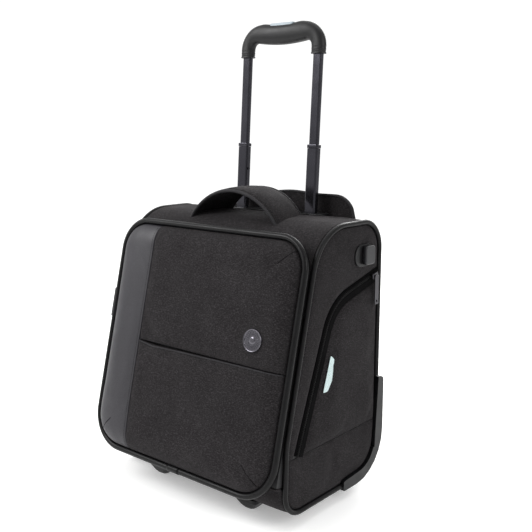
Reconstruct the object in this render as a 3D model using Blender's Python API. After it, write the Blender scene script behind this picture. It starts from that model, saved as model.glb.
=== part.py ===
"""Pilot rolling flight case: soft-sided case, front door, two-stage telescopic handle, two wheels.

Metres, +Z up, +X to the case's right as seen from the front, +Y to its back.
The case stands on its two wheels and two front feet, at z = 0.
Profiles are written in case coordinates: z = 0 is the lower edge of the case,
and its back plane is at y = BACK. The empty case_frame places them in the world.
"""

import math

import bmesh
import bpy
from mathutils import Matrix, Vector

# ---------------------------------------------------------------- driving dimensions, in metres

GAP = 0.0003                 # clearance between neighbouring pieces
BODY_HEIGHT = 0.430
FLOOR_GAP = 0.020            # from the floor to the lower edge of the case
BACK = 0.100
FRONT = -0.1747              # front plane at the lower edge
FRONT_SLOPE = 0.2451         # the front plane leans back by this much per unit of height
GUARD_BACK = 0.1115          # rearmost plane of the wheel guards
FRONT_REACH = 0.18825        # foremost point of the door
CASE_Y = (FRONT_REACH - GUARD_BACK) / 2

LOWER_FRONT = -0.1500        # below the knee the front edge drops almost straight to here
KNEE_HEIGHT = 0.115
RADIUS_BOTTOM_FRONT = 0.040
RADIUS_KNEE = 0.100
RADIUS_TOP_FRONT = 0.085
RADIUS_TOP_REAR = 0.050
RADIUS_BOTTOM_REAR = 0.065
CORNER_STEPS = 6

PANEL_OUT = 0.001            # panels lie this far inside the outline
PANEL_IN = 0.005
PANEL_HALF_WIDTH = 0.1935
PANEL_JOINT_Y = 0.0490      # seam between the top and back panels
PIPING_RADIUS = 0.004
PIPING_X = 0.198
FIELD_INSET = 0.009          # side boards and skins keep inside the piping
BOARD_X = (0.1940, 0.1965)
SKIN_X = (0.1968, 0.2000)
POCKET_X = (0.1968, 0.2020)
ZIP_X = (0.1968, 0.1994)

FRAME_LOW = 0.0585           # front frame, measured up the front plane
FRAME_HIGH = 0.3750
FRAME_BACK = 0.0135
FRAME_OPENING = (0.176, 0.072, 0.355, 0.030)
SILL_DEPTH = 0.0130

SEAM_HEIGHT = 0.0920
ZIP_BEND = (-0.0391, 0.3159)
ZIP_BEND_RADIUS = 0.0875
ZIP_UPPER_SLOPE = 0.262
ZIP_LOWER_SLOPE = 2.59
ZIP_BAND = 0.022
SLIDER_Y = 0.0755

DOOR_HALF_WIDTH = 0.201
DOOR_LOW = 0.0300            # door outline, measured up the front plane
DOOR_HIGH = 0.4275
DOOR_RADIUS_TOP = 0.055
DOOR_RADIUS_LOW = 0.065
DOOR_PIPING_Y = -0.0135
DOOR_PIPING_RADIUS = 0.005
DOOR_FIELD_INSET = 0.0105    # board and padding keep inside the piping
DOOR_SKIN_Y = -0.0122
DOOR_CROWN = 0.018
DOOR_ROLL = 0.032
DOOR_HINGE = (0.0, -0.0044, DOOR_LOW)
STRIP_EDGE_X = -0.109
SLIT_HEIGHT = 0.2248
BADGE = (0.134, 0.2648)
BADGE_RADIUS = 0.0175

TUBE_X = 0.0764
TUBE_Y = 0.0719              # tube centres at the height TUBE_Z
TUBE_Z = 0.400
TUBE_LEAN = 0.0654
GUIDE_SIZE = (0.0250, 0.0160)
GUIDE_BORE = (0.0218, 0.0128)
LOWER_SIZE = (0.0210, 0.0120)
LOWER_BORE = (0.0184, 0.0096)
UPPER_SIZE = (0.0170, 0.0090)
UPPER_BORE = (0.0150, 0.0070)
COLLAR_SIZE = (0.0220, 0.0130)
GUIDE_SPAN = (-0.3705, -0.0085)
LOWER_SPAN = (-0.2550, 0.1365)
COLLAR_SPAN = (0.1368, 0.1427)
UPPER_SPAN = (0.0750, 0.3145)
ROD_SPAN = (0.1180, 0.3192)
NUB_HEIGHT = 0.0980
GRIP_LOW = 0.2900
GRIP_HIGH = 0.3425
GRIP_UNDER = 0.3125
GRIP_HALF_WIDTH = 0.0896
GRIP_DEPTH = 0.0230
SLEEVE_WIDTH = 0.0264

WELL_Y = (0.0575, 0.0885)
WELL_Z = (0.4000, 0.4295)
WELL_HALF_WIDTH = 0.106
FLAP_Y = (0.0955, 0.0985)
FLAP_Z = (0.4035, 0.4630)
FLAP_HALF_WIDTH = 0.151
FLAP_RADIUS = 0.036

WHEEL_RADIUS = 0.0275
WHEEL_WIDTH = 0.0235
WHEEL_X = 0.1562
AXLE_RADIUS = 0.0030
AXLE_Y = 0.058
AXLE_Z = WHEEL_RADIUS - FLOOR_GAP
GUARD_X = (0.1280, 0.1935, 0.2035)
WELL_WHEEL_X = (0.1370, 0.1755)

HANDLE_HALF_CHORD = 0.100
HANDLE_APEX = 0.475
HANDLE_RISE = 0.0475
HANDLE_THICKNESS = 0.006
HANDLE_Y = (-0.040, 0.045)

USB_Y = (0.0180, 0.0680)
USB_Z = (0.3575, 0.3925)
USB_X = (0.2003, 0.2046)
USB_CAP_X = (0.2049, 0.2119)
USB_CAP_Y = (0.0375, 0.0640)
USB_CAP_Z = (0.3600, 0.3900)
SOCKET_CENTRE = (0.0508, 0.375)

FOOT_PLACE = (0.100, -0.106)

# ---------------------------------------------------------------- materials


def make_material(name, colour, roughness, metallic=0.0):
    """One Principled material."""
    result = bpy.data.materials.new(name)
    result.use_nodes = True
    shader = result.node_tree.nodes["Principled BSDF"]
    shader.inputs["Base Color"].default_value = (*colour, 1.0)
    shader.inputs["Roughness"].default_value = roughness
    shader.inputs["Metallic"].default_value = metallic
    return result


FABRIC = ((0.045, 0.041, 0.044), 0.90)
SMOOTH_FABRIC = ((0.075, 0.072, 0.078), 0.60)
LINING = ((0.060, 0.060, 0.062), 0.85)
PIPING = ((0.018, 0.017, 0.019), 0.55)
PLASTIC = ((0.020, 0.020, 0.022), 0.50)
GREY_PLASTIC = ((0.180, 0.185, 0.190), 0.45)
BOARD = ((0.030, 0.030, 0.032), 0.70)
TUBE_PAINT = ((0.016, 0.016, 0.018), 0.30, 0.60)
STEEL = ((0.550, 0.550, 0.560), 0.35, 1.0)
DARK_CHROME = ((0.110, 0.110, 0.120), 0.25, 1.0)
RUBBER = ((0.022, 0.022, 0.022), 0.80)
TAG_CLOTH = ((0.680, 0.780, 0.740), 0.65)

# ---------------------------------------------------------------- outlines


def arc_corner(before, corner, radius, after, inset, steps):
    """Points of a rounded corner, moved by inset towards the right-hand side of the path."""
    corner = Vector(corner)
    back = (Vector(before) - corner).normalized()
    ahead = (Vector(after) - corner).normalized()
    half = back.angle(ahead) / 2
    if radius <= 0.0:
        inward = Vector((-back.y, back.x)) + Vector((ahead.y, -ahead.x))
        return [corner + inward.normalized() * inset / math.sin(half)]
    centre = corner + (back + ahead).normalized() * radius / math.sin(half)
    first = corner + back * radius / math.tan(half) - centre
    last = corner + ahead * radius / math.tan(half) - centre
    start = math.atan2(first.y, first.x)
    sweep = math.atan2(first.x * last.y - first.y * last.x, first.dot(last))
    offset = inset if sweep < 0.0 else -inset
    reach = radius - offset
    angles = [start + sweep * step / steps for step in range(steps + 1)]
    return [centre + Vector((math.cos(angle), math.sin(angle))) * reach for angle in angles]


def closed_outline(corners, inset=0.0, steps=CORNER_STEPS):
    """Closed clockwise outline through corners, each (a, b, radius)."""
    points = []
    count = len(corners)
    for index, (a, b, radius) in enumerate(corners):
        before = corners[index - 1][:2]
        after = corners[(index + 1) % count][:2]
        points.extend(arc_corner(before, (a, b), radius, after, inset, steps))
    return points


def open_outline(corners, inset=0.0, steps=CORNER_STEPS):
    """Open path through corners, moved by inset towards its right-hand side."""
    points = []
    for index, (a, b, radius) in enumerate(corners):
        here = Vector((a, b))
        if index == 0:
            ahead = (Vector(corners[1][:2]) - here).normalized()
            points.append(here + Vector((ahead.y, -ahead.x)) * inset)
        elif index == len(corners) - 1:
            ahead = (here - Vector(corners[index - 1][:2])).normalized()
            points.append(here + Vector((ahead.y, -ahead.x)) * inset)
        else:
            before = corners[index - 1][:2]
            after = corners[index + 1][:2]
            points.extend(arc_corner(before, (a, b), radius, after, inset, steps))
    return points


def band(corners, inset_out, inset_in, steps=CORNER_STEPS):
    """Closed outline of a strip that follows an open path between two insets."""
    outer = open_outline(corners, inset_out, steps)
    inner = open_outline(corners, inset_in, steps)
    return outer + inner[::-1]


def rectangle(a_low, a_high, b_low, b_high, radius=0.0, steps=3):
    """Closed clockwise rectangle with rounded corners."""
    corners = [
        (a_low, b_low, radius),
        (a_low, b_high, radius),
        (a_high, b_high, radius),
        (a_high, b_low, radius),
    ]
    return closed_outline(corners, 0.0, steps)


def front_point(height_up_front):
    """Point of the front plane, from its distance up the slope."""
    length = math.hypot(1.0, FRONT_SLOPE)
    height = height_up_front / length
    return FRONT + FRONT_SLOPE * height, height


CORNER_BOTTOM_FRONT = (LOWER_FRONT, 0.0, RADIUS_BOTTOM_FRONT)
CORNER_KNEE = (FRONT + FRONT_SLOPE * KNEE_HEIGHT, KNEE_HEIGHT, RADIUS_KNEE)
CORNER_TOP_FRONT = (FRONT + FRONT_SLOPE * BODY_HEIGHT, BODY_HEIGHT, RADIUS_TOP_FRONT)
CORNER_TOP_REAR = (BACK, BODY_HEIGHT, RADIUS_TOP_REAR)
CORNER_BOTTOM_REAR = (BACK, 0.0, RADIUS_BOTTOM_REAR)
CASE_CORNERS = [CORNER_BOTTOM_FRONT, CORNER_KNEE, CORNER_TOP_FRONT, CORNER_TOP_REAR, CORNER_BOTTOM_REAR]

DOOR_CORNERS = [
    (-DOOR_HALF_WIDTH, DOOR_LOW, DOOR_RADIUS_LOW),
    (-DOOR_HALF_WIDTH, DOOR_HIGH, DOOR_RADIUS_TOP),
    (DOOR_HALF_WIDTH, DOOR_HIGH, DOOR_RADIUS_TOP),
    (DOOR_HALF_WIDTH, DOOR_LOW, DOOR_RADIUS_LOW),
]

# ---------------------------------------------------------------- solids


def clear_scene():
    for item in list(bpy.data.objects):
        bpy.data.objects.remove(item, do_unlink=True)


def add_empty(name, location, tilt=0.0, parent=None):
    """Empty whose local Z leans back by tilt radians."""
    result = bpy.data.objects.new(name, None)
    result.location = location
    result.rotation_euler = (-tilt, 0.0, 0.0)
    result.parent = parent
    bpy.context.scene.collection.objects.link(result)
    return result


def add_object(name, shape, parent, origin=(0.0, 0.0, 0.0)):
    """Object from a bmesh whose points are in the parent's coordinates."""
    bmesh.ops.remove_doubles(shape, verts=shape.verts, dist=1e-6)
    bmesh.ops.recalc_face_normals(shape, faces=shape.faces)
    if shape.calc_volume(signed=True) < 0.0:
        bmesh.ops.reverse_faces(shape, faces=shape.faces)
    mesh = bpy.data.meshes.new(name)
    shape.to_mesh(mesh)
    shape.free()
    mesh.transform(Matrix.Translation(-Vector(origin)))
    result = bpy.data.objects.new(name, mesh)
    result.location = origin
    result.parent = parent
    bpy.context.scene.collection.objects.link(result)
    return result


def finish(item, look):
    """Give an object its own material, named after it."""
    item.data.materials.append(make_material(item.name, *look))
    return item


def loft_shape(rings, ring_closed=False):
    """Closed bmesh through rings of equal length: capped ends, or joined end to end."""
    shape = bmesh.new()
    rows = [[shape.verts.new(point) for point in ring] for ring in rings]
    pairs = list(zip(rows, rows[1:]))
    if ring_closed:
        pairs.append((rows[-1], rows[0]))
    for low, high in pairs:
        count = len(low)
        for index in range(count):
            after = (index + 1) % count
            shape.faces.new((low[index], low[after], high[after], high[index]))
    if not ring_closed:
        shape.faces.new(rows[0])
        shape.faces.new(rows[-1][::-1])
    return shape


def prism_shape(outline, axis, low, high):
    """Straight extrusion of a 2-D outline along X, Y or Z."""
    places = {
        "X": lambda point, depth: (depth, point[0], point[1]),
        "Y": lambda point, depth: (point[0], depth, point[1]),
        "Z": lambda point, depth: (point[0], point[1], depth),
    }
    place = places[axis]
    rings = [[place(point, depth) for point in outline] for depth in (low, high)]
    return loft_shape(rings)


def add_prism(name, outline, axis, low, high, parent, origin=(0.0, 0.0, 0.0)):
    return add_object(name, prism_shape(outline, axis, low, high), parent, origin)


def add_box(name, x_span, y_span, z_span, parent, radius=0.0, origin=(0.0, 0.0, 0.0)):
    outline = rectangle(*x_span, *y_span, radius)
    return add_prism(name, outline, "Z", *z_span, parent, origin)


def add_ring(name, outer, inner, axis, low, high, parent, origin=(0.0, 0.0, 0.0)):
    """Extruded ring between two outlines with the same number of points."""
    places = {
        "Y": lambda point, depth: (point[0], depth, point[1]),
        "Z": lambda point, depth: (point[0], point[1], depth),
    }
    place = places[axis]
    rings = [
        [place(point, low) for point in outer],
        [place(point, high) for point in outer],
        [place(point, high) for point in inner],
        [place(point, low) for point in inner],
    ]
    return add_object(name, loft_shape(rings, ring_closed=True), parent, origin)


def cylinder_shape(radius, axis, centre, low, high, sides=16):
    circle = []
    for step in range(sides):
        angle = math.tau * step / sides
        circle.append((centre[0] + radius * math.cos(angle), centre[1] + radius * math.sin(angle)))
    return prism_shape(circle, axis, low, high)


def sweep_shape(path, radius, closed, sides=6):
    """Round bead along a path of 3-D points that lies in one plane."""
    points = [Vector(point) for point in path]
    count = len(points)
    normal = (points[1] - points[0]).cross(points[count // 2] - points[0]).normalized()
    rings = []
    for index, point in enumerate(points):
        before = points[index - 1] if closed or index > 0 else point
        after = points[(index + 1) % count] if closed or index < count - 1 else point
        tangent = (after - before).normalized()
        side = tangent.cross(normal).normalized()
        ring = []
        for step in range(sides):
            angle = math.tau * (step + 0.5) / sides
            ring.append(point + side * radius * math.cos(angle) + normal * radius * math.sin(angle))
        rings.append(ring)
    return loft_shape(rings, ring_closed=closed)


def turned_shape(profile, centre, sides=24):
    """Ring turned about a line along X; profile points are (x, radius)."""
    rings = []
    for step in range(sides):
        angle = math.tau * step / sides
        across = (math.cos(angle), math.sin(angle))
        rings.append([(x, centre[0] + r * across[0], centre[1] + r * across[1]) for x, r in profile])
    return loft_shape(rings, ring_closed=True)


def apply_boolean(target, tool, operation):
    """Boolean with a hidden tool object that keeps its place."""
    tool.hide_render = True
    tool.display_type = "WIRE"
    modifier = target.modifiers.new(operation.lower() + "_" + tool.name, "BOOLEAN")
    modifier.operation = operation
    modifier.solver = "EXACT"
    modifier.object = tool
    return target


def add_bevel(item, width, segments=1, angle=35.0):
    modifier = item.modifiers.new("bevel", "BEVEL")
    modifier.width = width
    modifier.segments = segments
    modifier.limit_method = "ANGLE"
    modifier.angle_limit = math.radians(angle)
    return item


def mirrored(sign, low, high):
    """Span along X on the chosen side, lowest value first."""
    return tuple(sorted((sign * low, sign * high)))


# ---------------------------------------------------------------- case: panels


def build_shell(case, front):
    """Top, back, bottom and front panels, which wrap the case between its two sides."""
    half = PANEL_HALF_WIDTH
    well_front = WELL_Y[0] - 0.0005
    top_path = [(*front_point(FRAME_HIGH + 0.0005), 0.0), CORNER_TOP_FRONT, (PANEL_JOINT_Y - 0.0003, BODY_HEIGHT, 0.0)]
    top = add_prism("top_panel", band(top_path, PANEL_OUT, PANEL_IN), "X", -half, half, case)
    finish(top, FABRIC)

    back_path = [(PANEL_JOINT_Y, BODY_HEIGHT, 0.0), CORNER_TOP_REAR, (BACK, 0.1665, 0.0)]
    back = add_prism("back_panel", band(back_path, PANEL_OUT, PANEL_IN), "X", -half, half, case)
    notch_x = WELL_HALF_WIDTH + 0.0005
    notch = add_box("well_notch", (-notch_x, notch_x), (well_front, WELL_Y[1] + 0.0005), (0.35, 0.45), case)
    apply_boolean(back, notch, "DIFFERENCE")
    finish(back, FABRIC)

    sill_y, sill_z = front_point(FRAME_LOW - PANEL_IN - 0.0005)
    length = math.hypot(1.0, FRONT_SLOPE)
    sill_back = (sill_y + SILL_DEPTH / length, sill_z - SILL_DEPTH * FRONT_SLOPE / length)
    bottom_path = [
        (BACK, 0.1660, 0.0),
        CORNER_BOTTOM_REAR,
        CORNER_BOTTOM_FRONT,
        (*sill_back, 0.0),
        (sill_y + 0.0010, sill_z - 0.00025, 0.0),
    ]
    bottom = add_prism("bottom_panel", band(bottom_path, PANEL_OUT, PANEL_IN), "X", -half, half, case)
    for side, sign in (("right", 1), ("left", -1)):
        span = mirrored(sign, GUARD_X[0] - 0.0005, 0.21)
        tool = add_box("guard_notch_" + side, span, (-0.0010, 0.13), (-0.02, 0.18), case)
        apply_boolean(bottom, tool, "DIFFERENCE")
    finish(bottom, FABRIC)

    reach, low, high, radius = FRAME_OPENING
    outer = rectangle(-half, half, FRAME_LOW, FRAME_HIGH, 0.001, 4)
    inner = rectangle(-reach, reach, low, high, radius, 4)
    frame = add_ring("front_frame", outer, inner, "Y", PANEL_OUT, FRAME_BACK, front)
    finish(frame, BOARD)


def zip_path(inset):
    """Line of the side pocket's zip, moved in by inset, from its lower front end to its rear end."""
    shift_y = inset * math.hypot(1.0, ZIP_LOWER_SLOPE) / ZIP_LOWER_SLOPE
    shift_z = inset * math.hypot(1.0, ZIP_UPPER_SLOPE)
    run = (shift_y - shift_z / ZIP_LOWER_SLOPE) / (1.0 - ZIP_UPPER_SLOPE / ZIP_LOWER_SLOPE)
    bend_y = ZIP_BEND[0] + run
    bend_z = ZIP_BEND[1] + ZIP_UPPER_SLOPE * run - shift_z
    low_z = SEAM_HEIGHT + GAP
    low_y = bend_y - (bend_z - low_z) / ZIP_LOWER_SLOPE
    rear_y = BACK - FIELD_INSET
    rear_z = bend_z + ZIP_UPPER_SLOPE * (rear_y - bend_y)
    return [(low_y, low_z, 0.0), (bend_y, bend_z, ZIP_BEND_RADIUS - inset), (rear_y, rear_z, 0.0)]


def inner_guard_edge(offset):
    """Edge of the wheel guard's flange on the side face, from back to front."""
    return [
        (0.0990 - offset, 0.2000, 0.0),
        (0.0860 - offset, 0.0190 + offset, 0.045),
        (-0.0005 - offset, 0.0125 + offset, 0.0),
    ]


def field_rear_low():
    """Lower rear boundary of the side field: down the back, then along the guard's flange."""
    corner = inner_guard_edge(0.0006)[1]
    end = inner_guard_edge(0.0006)[2]
    return [(BACK - FIELD_INSET, 0.0900, 0.0), corner, end, (end[0], FIELD_INSET, 0.0)]


def inset_front(height):
    """Point of the lower front edge's inset line at a height below the knee."""
    slope = (CORNER_KNEE[0] - LOWER_FRONT) / KNEE_HEIGHT
    return LOWER_FRONT + slope * height + FIELD_INSET * math.hypot(1.0, slope), height


def inset_corner(corner):
    """One corner of the case outline, moved in by FIELD_INSET, with its smaller radius."""
    index = CASE_CORNERS.index(corner)
    before = CASE_CORNERS[index - 1][:2]
    after = CASE_CORNERS[(index + 1) % len(CASE_CORNERS)][:2]
    point = arc_corner(before, corner[:2], 0.0, after, FIELD_INSET, 1)[0]
    return point.x, point.y, corner[2] - FIELD_INSET


def build_side(case, side, sign):
    """Board, skins, zip tape and piping of one side."""
    front_low = inset_corner(CORNER_BOTTOM_FRONT)
    knee = inset_corner(CORNER_KNEE)
    front_high = inset_corner(CORNER_TOP_FRONT)
    rear_high = inset_corner(CORNER_TOP_REAR)
    rear_low = field_rear_low()

    board = closed_outline([front_low, knee, front_high, rear_high] + rear_low)
    board_piece = add_prism("side_board_" + side, board, "X", *mirrored(sign, *BOARD_X), case)

    start, bend, end = zip_path(0.0)
    upper = closed_outline([
        (start[0], start[1], 0.0),
        (*inset_front(start[1]), 0.0),
        knee,
        front_high,
        rear_high,
        end,
        bend,
    ])
    upper_piece = add_prism("upper_side_skin_" + side, upper, "X", *mirrored(sign, *SKIN_X), case)

    strip = open_outline(zip_path(0.0005)) + open_outline(zip_path(ZIP_BAND))[::-1]
    strip_piece = add_prism("pocket_zip_tape_" + side, strip, "X", *mirrored(sign, *ZIP_X), case)
    finish(strip_piece, PIPING)

    pocket = open_outline(zip_path(ZIP_BAND + 0.0005)) + [Vector((BACK - FIELD_INSET, start[1]))]
    pocket_piece = add_prism("pocket_skin_" + side, pocket, "X", *mirrored(sign, *POCKET_X), case)
    finish(pocket_piece, FABRIC)

    seam = SEAM_HEIGHT - GAP
    lower = closed_outline([front_low, (*inset_front(seam), 0.0), (BACK - FIELD_INSET, seam, 0.0)] + rear_low)
    lower_piece = add_prism("lower_side_skin_" + side, lower, "X", *mirrored(sign, *SKIN_X), case)
    finish(lower_piece, FABRIC)

    if side == "right":
        centre_y, centre_z = SOCKET_CENTRE
        tool = add_box(
            "socket_passage",
            (0.18, 0.2002),
            (centre_y - 0.0077, centre_y + 0.0077),
            (centre_z - 0.0038, centre_z + 0.0038),
            case,
        )
        apply_boolean(board_piece, tool, "DIFFERENCE")
        apply_boolean(upper_piece, tool, "DIFFERENCE")
    finish(board_piece, BOARD)
    finish(upper_piece, FABRIC)

    piping_path = [(-0.0015, 0.0, 0.0), *CASE_CORNERS[:4], (BACK, 0.1655, 0.0)]
    bead = [(sign * PIPING_X, y, z) for y, z in open_outline(piping_path, PIPING_RADIUS, 7)]
    piping = add_object("side_piping_" + side, sweep_shape(bead, PIPING_RADIUS, closed=False), case)
    finish(piping, PIPING)


def build_pocket_slider(case, side, sign):
    """Slider on the straight upper stretch of the side zip, and its hanging pull."""
    edge_z = ZIP_BEND[1] + ZIP_UPPER_SLOPE * (SLIDER_Y - ZIP_BEND[0])
    centre_z = edge_z - 0.0073
    slope = math.atan(ZIP_UPPER_SLOPE)
    slider = add_box("pocket_slider_" + side, (-0.0031, 0.0031), (-0.007, 0.007), (-0.004, 0.004), case, 0.0015)
    slider.location = (sign * 0.2029, SLIDER_Y, centre_z)
    slider.rotation_euler = (slope, 0.0, 0.0)
    finish(slider, DARK_CHROME)

    pivot = (sign * 0.2075, SLIDER_Y, centre_z)
    outer = rectangle(SLIDER_Y - 0.0052, SLIDER_Y + 0.0052, centre_z - 0.0470, centre_z + 0.0008, 0.0022)
    pull = add_prism("pocket_pull_" + side, outer, "X", *mirrored(sign, 0.2065, 0.2085), case, pivot)
    hole = cylinder_shape(0.0022, "X", (SLIDER_Y, centre_z - 0.0415), *mirrored(sign, 0.20, 0.22), 10)
    apply_boolean(pull, add_object("pull_hole_" + side, hole, case), "DIFFERENCE")
    finish(pull, DARK_CHROME)


# ---------------------------------------------------------------- wheels, guards, feet


def build_guard(case, side, sign):
    """Corner guard moulded with its wheel housing, the wheel's axle, tyre and hub."""
    profile = closed_outline([
        (-0.0005, -0.0040, 0.003),
        (-0.0005, 0.0135, 0.003),
        (0.0240, 0.0150, 0.0),
        (0.0240, 0.0435, 0.004),
        (0.0885, 0.0435, 0.0),
        (0.0960, 0.1640, 0.0),
        (0.1000, 0.1640, 0.001),
        (GUARD_BACK, 0.1615, 0.008),
        (GUARD_BACK, -0.0040, 0.075),
    ])
    housing = add_prism("wheel_guard_" + side, profile, "X", *mirrored(sign, *GUARD_X[::2]), case)
    start, corner, end = inner_guard_edge(0.0)
    beyond = end[0] - 0.02
    slope = (corner[1] - end[1]) / (corner[0] - end[0])
    field = closed_outline([(beyond, end[1] - 0.02 * slope, 0.0), (beyond, start[1], 0.0), start, corner])
    tool = add_prism("side_field_" + side, field, "X", *mirrored(sign, GUARD_X[1], 0.22), case)
    apply_boolean(housing, tool, "DIFFERENCE")

    arch = [Vector((AXLE_Y + 0.0315, -0.03)), Vector((AXLE_Y - 0.0315, -0.03))]
    for step in range(13):
        angle = math.pi * (1.0 - step / 12)
        arch.append(Vector((AXLE_Y + 0.0315 * math.cos(angle), AXLE_Z + 0.0315 * math.sin(angle))))
    well = add_prism("wheel_well_" + side, arch, "X", *mirrored(sign, *WELL_WHEEL_X), case)
    apply_boolean(housing, well, "DIFFERENCE")
    bore = cylinder_shape(AXLE_RADIUS + GAP, "X", (AXLE_Y, AXLE_Z), *mirrored(sign, 0.1330, 0.1810), 12)
    apply_boolean(housing, add_object("axle_bore_" + side, bore, case), "DIFFERENCE")
    finish(housing, PLASTIC)

    axle = cylinder_shape(AXLE_RADIUS, "X", (AXLE_Y, AXLE_Z), *mirrored(sign, 0.1334, 0.1806), 12)
    finish(add_object("axle_" + side, axle, case), STEEL)

    centre = (0.0, AXLE_Y, AXLE_Z)
    half = WHEEL_WIDTH / 2
    middle = sign * WHEEL_X
    tyre_profile = [
        (middle - half, 0.0200),
        (middle - half, 0.0250),
        (middle - half + 0.0025, WHEEL_RADIUS),
        (middle + half - 0.0025, WHEEL_RADIUS),
        (middle + half, 0.0250),
        (middle + half, 0.0200),
    ]
    tyre = add_object("tyre_" + side, turned_shape(tyre_profile, centre[1:]), case, centre)
    finish(tyre, RUBBER)
    hub_profile = [
        (middle - half - 0.0020, AXLE_RADIUS + GAP),
        (middle - half - 0.0020, 0.0065),
        (middle - half + 0.0020, 0.0080),
        (middle - half + 0.0010, 0.0197),
        (middle + half - 0.0010, 0.0197),
        (middle + half - 0.0020, 0.0080),
        (middle + half + 0.0020, 0.0065),
        (middle + half + 0.0020, AXLE_RADIUS + GAP),
    ]
    hub = add_object("hub_" + side, turned_shape(hub_profile, centre[1:]), case, centre)
    finish(hub, GREY_PLASTIC)


def build_foot(case, side, sign):
    """Moulded front foot: a rounded block that narrows towards the floor."""
    x, y = FOOT_PLACE
    levels = [(0.0007, 0.025, 0.020), (-0.0060, 0.023, 0.0185), (-0.0160, 0.015, 0.0140), (-FLOOR_GAP, 0.011, 0.011)]
    rings = []
    for height, half_x, half_y in levels:
        outline = rectangle(sign * x - half_x, sign * x + half_x, y - half_y, y + half_y, 0.007, 3)
        rings.append([(point.x, point.y, height) for point in outline])
    foot = add_object("front_foot_" + side, loft_shape(rings), case)
    finish(foot, PLASTIC)


# ---------------------------------------------------------------- telescopic handle


def tube_outline(size, centre_x, radius=0.0025):
    half_x = size[0] / 2
    half_y = size[1] / 2
    return rectangle(centre_x - half_x, centre_x + half_x, -half_y, half_y, radius, 2)


def add_tube(name, size, bore, span, centre_x, parent, radius=0.0025, bore_radius=0.0018):
    """Hollow rounded rectangular tube, open at both ends."""
    outer = tube_outline(size, centre_x, radius)
    inner = tube_outline(bore, centre_x, bore_radius)
    return add_ring(name, outer, inner, "Z", *span, parent)


def build_trolley(case, axis):
    """Fixed guides and well, two sliding stages, grip, release button and its rods."""
    well = add_box("handle_well", (-WELL_HALF_WIDTH, WELL_HALF_WIDTH), WELL_Y, WELL_Z, case, 0.006)
    for side, sign in (("right", 1), ("left", -1)):
        x = sign * TUBE_X
        opening = add_prism("well_hole_" + side, tube_outline(GUIDE_BORE, x), "Z", -0.02, 0.05, axis)
        apply_boolean(well, opening, "DIFFERENCE")
        slot_x = mirrored(sign, TUBE_X - 0.0132, TUBE_X)
        slot = add_box("nub_slot_" + side, slot_x, (-0.0026, 0.0026), (-0.02, 0.05), axis)
        apply_boolean(well, slot, "DIFFERENCE")

        guide = add_tube("guide_tube_" + side, GUIDE_SIZE, GUIDE_BORE, GUIDE_SPAN, x, axis, 0.0004, 0.0002)
        finish(guide, STEEL)
        lower = add_tube("lower_tube_" + side, LOWER_SIZE, LOWER_BORE, LOWER_SPAN, x, axis)
        nub_x = mirrored(sign, TUBE_X - 0.0123, TUBE_X - 0.0095)
        nub = add_box("nub_" + side, nub_x, (-0.002, 0.002), (NUB_HEIGHT - 0.002, NUB_HEIGHT + 0.002), axis)
        apply_boolean(lower, nub, "UNION")
        finish(lower, TUBE_PAINT)
        collar_bore = (UPPER_SIZE[0] + 0.0006, UPPER_SIZE[1] + 0.0006)
        collar = add_tube("collar_" + side, COLLAR_SIZE, collar_bore, COLLAR_SPAN, x, axis)
        finish(collar, PLASTIC)
        upper = add_tube("upper_tube_" + side, UPPER_SIZE, UPPER_BORE, UPPER_SPAN, x, axis)
        finish(upper, TUBE_PAINT)
        rod = add_box("release_rod_" + side, (x - 0.002, x + 0.002), (-0.002, 0.002), ROD_SPAN, axis)
        finish(rod, STEEL)
    finish(well, PLASTIC)

    build_grip(axis)
    foot = add_box("tube_foot", (-0.096, 0.096), (0.034, 0.062), (0.0120, 0.0285), case, 0.004)
    finish(foot, PLASTIC)
    cover = add_box("tube_cover", (-0.185, 0.185), (-0.0125, -0.0100), (-0.345, -0.020), axis)
    finish(cover, LINING)


def build_grip(axis):
    """Grip with its two sleeves, and the release button in its top."""
    inner_x = GRIP_HALF_WIDTH - SLEEVE_WIDTH
    outline = closed_outline([
        (-GRIP_HALF_WIDTH, GRIP_LOW, 0.0),
        (-GRIP_HALF_WIDTH, GRIP_HIGH, 0.038),
        (GRIP_HALF_WIDTH, GRIP_HIGH, 0.038),
        (GRIP_HALF_WIDTH, GRIP_LOW, 0.0),
        (inner_x, GRIP_LOW, 0.0),
        (inner_x, GRIP_UNDER, 0.012),
        (0.0, GRIP_UNDER - 0.004, 0.300),
        (-inner_x, GRIP_UNDER, 0.012),
        (-inner_x, GRIP_LOW, 0.0),
    ])
    half_depth = GRIP_DEPTH / 2
    grip = add_prism("grip", outline, "Y", -half_depth, half_depth, axis)
    add_bevel(grip, 0.005, 2, 60.0)
    for side, sign in (("right", 1), ("left", -1)):
        bore = (UPPER_SIZE[0] + 0.0006, UPPER_SIZE[1] + 0.0006)
        hole = tube_outline(bore, sign * TUBE_X)
        socket = add_prism("sleeve_bore_" + side, hole, "Z", GRIP_LOW - 0.01, 0.3160, axis)
        apply_boolean(grip, socket, "DIFFERENCE")
    channel = add_box("grip_channel", (-0.0795, 0.0795), (-0.0052, 0.0052), (0.3150, 0.3290), axis)
    apply_boolean(grip, channel, "DIFFERENCE")
    window = add_box("button_window", (-0.0255, 0.0255), (-0.0075, 0.0075), (0.3245, 0.36), axis, 0.003)
    apply_boolean(grip, window, "DIFFERENCE")
    finish(grip, PLASTIC)

    button = add_box("release_button", (-0.0250, 0.0250), (-0.0070, 0.0070), (0.3292, 0.3440), axis, 0.003)
    bar = add_box("button_bar", (-0.0780, 0.0780), (-0.0045, 0.0045), (0.3195, 0.3235), axis)
    stem = add_box("button_stem", (-0.0200, 0.0200), (-0.0040, 0.0040), (0.3210, 0.3310), axis)
    apply_boolean(button, stem, "UNION")
    apply_boolean(button, bar, "UNION")
    finish(button, GREY_PLASTIC)


# ---------------------------------------------------------------- top and side trim


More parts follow.
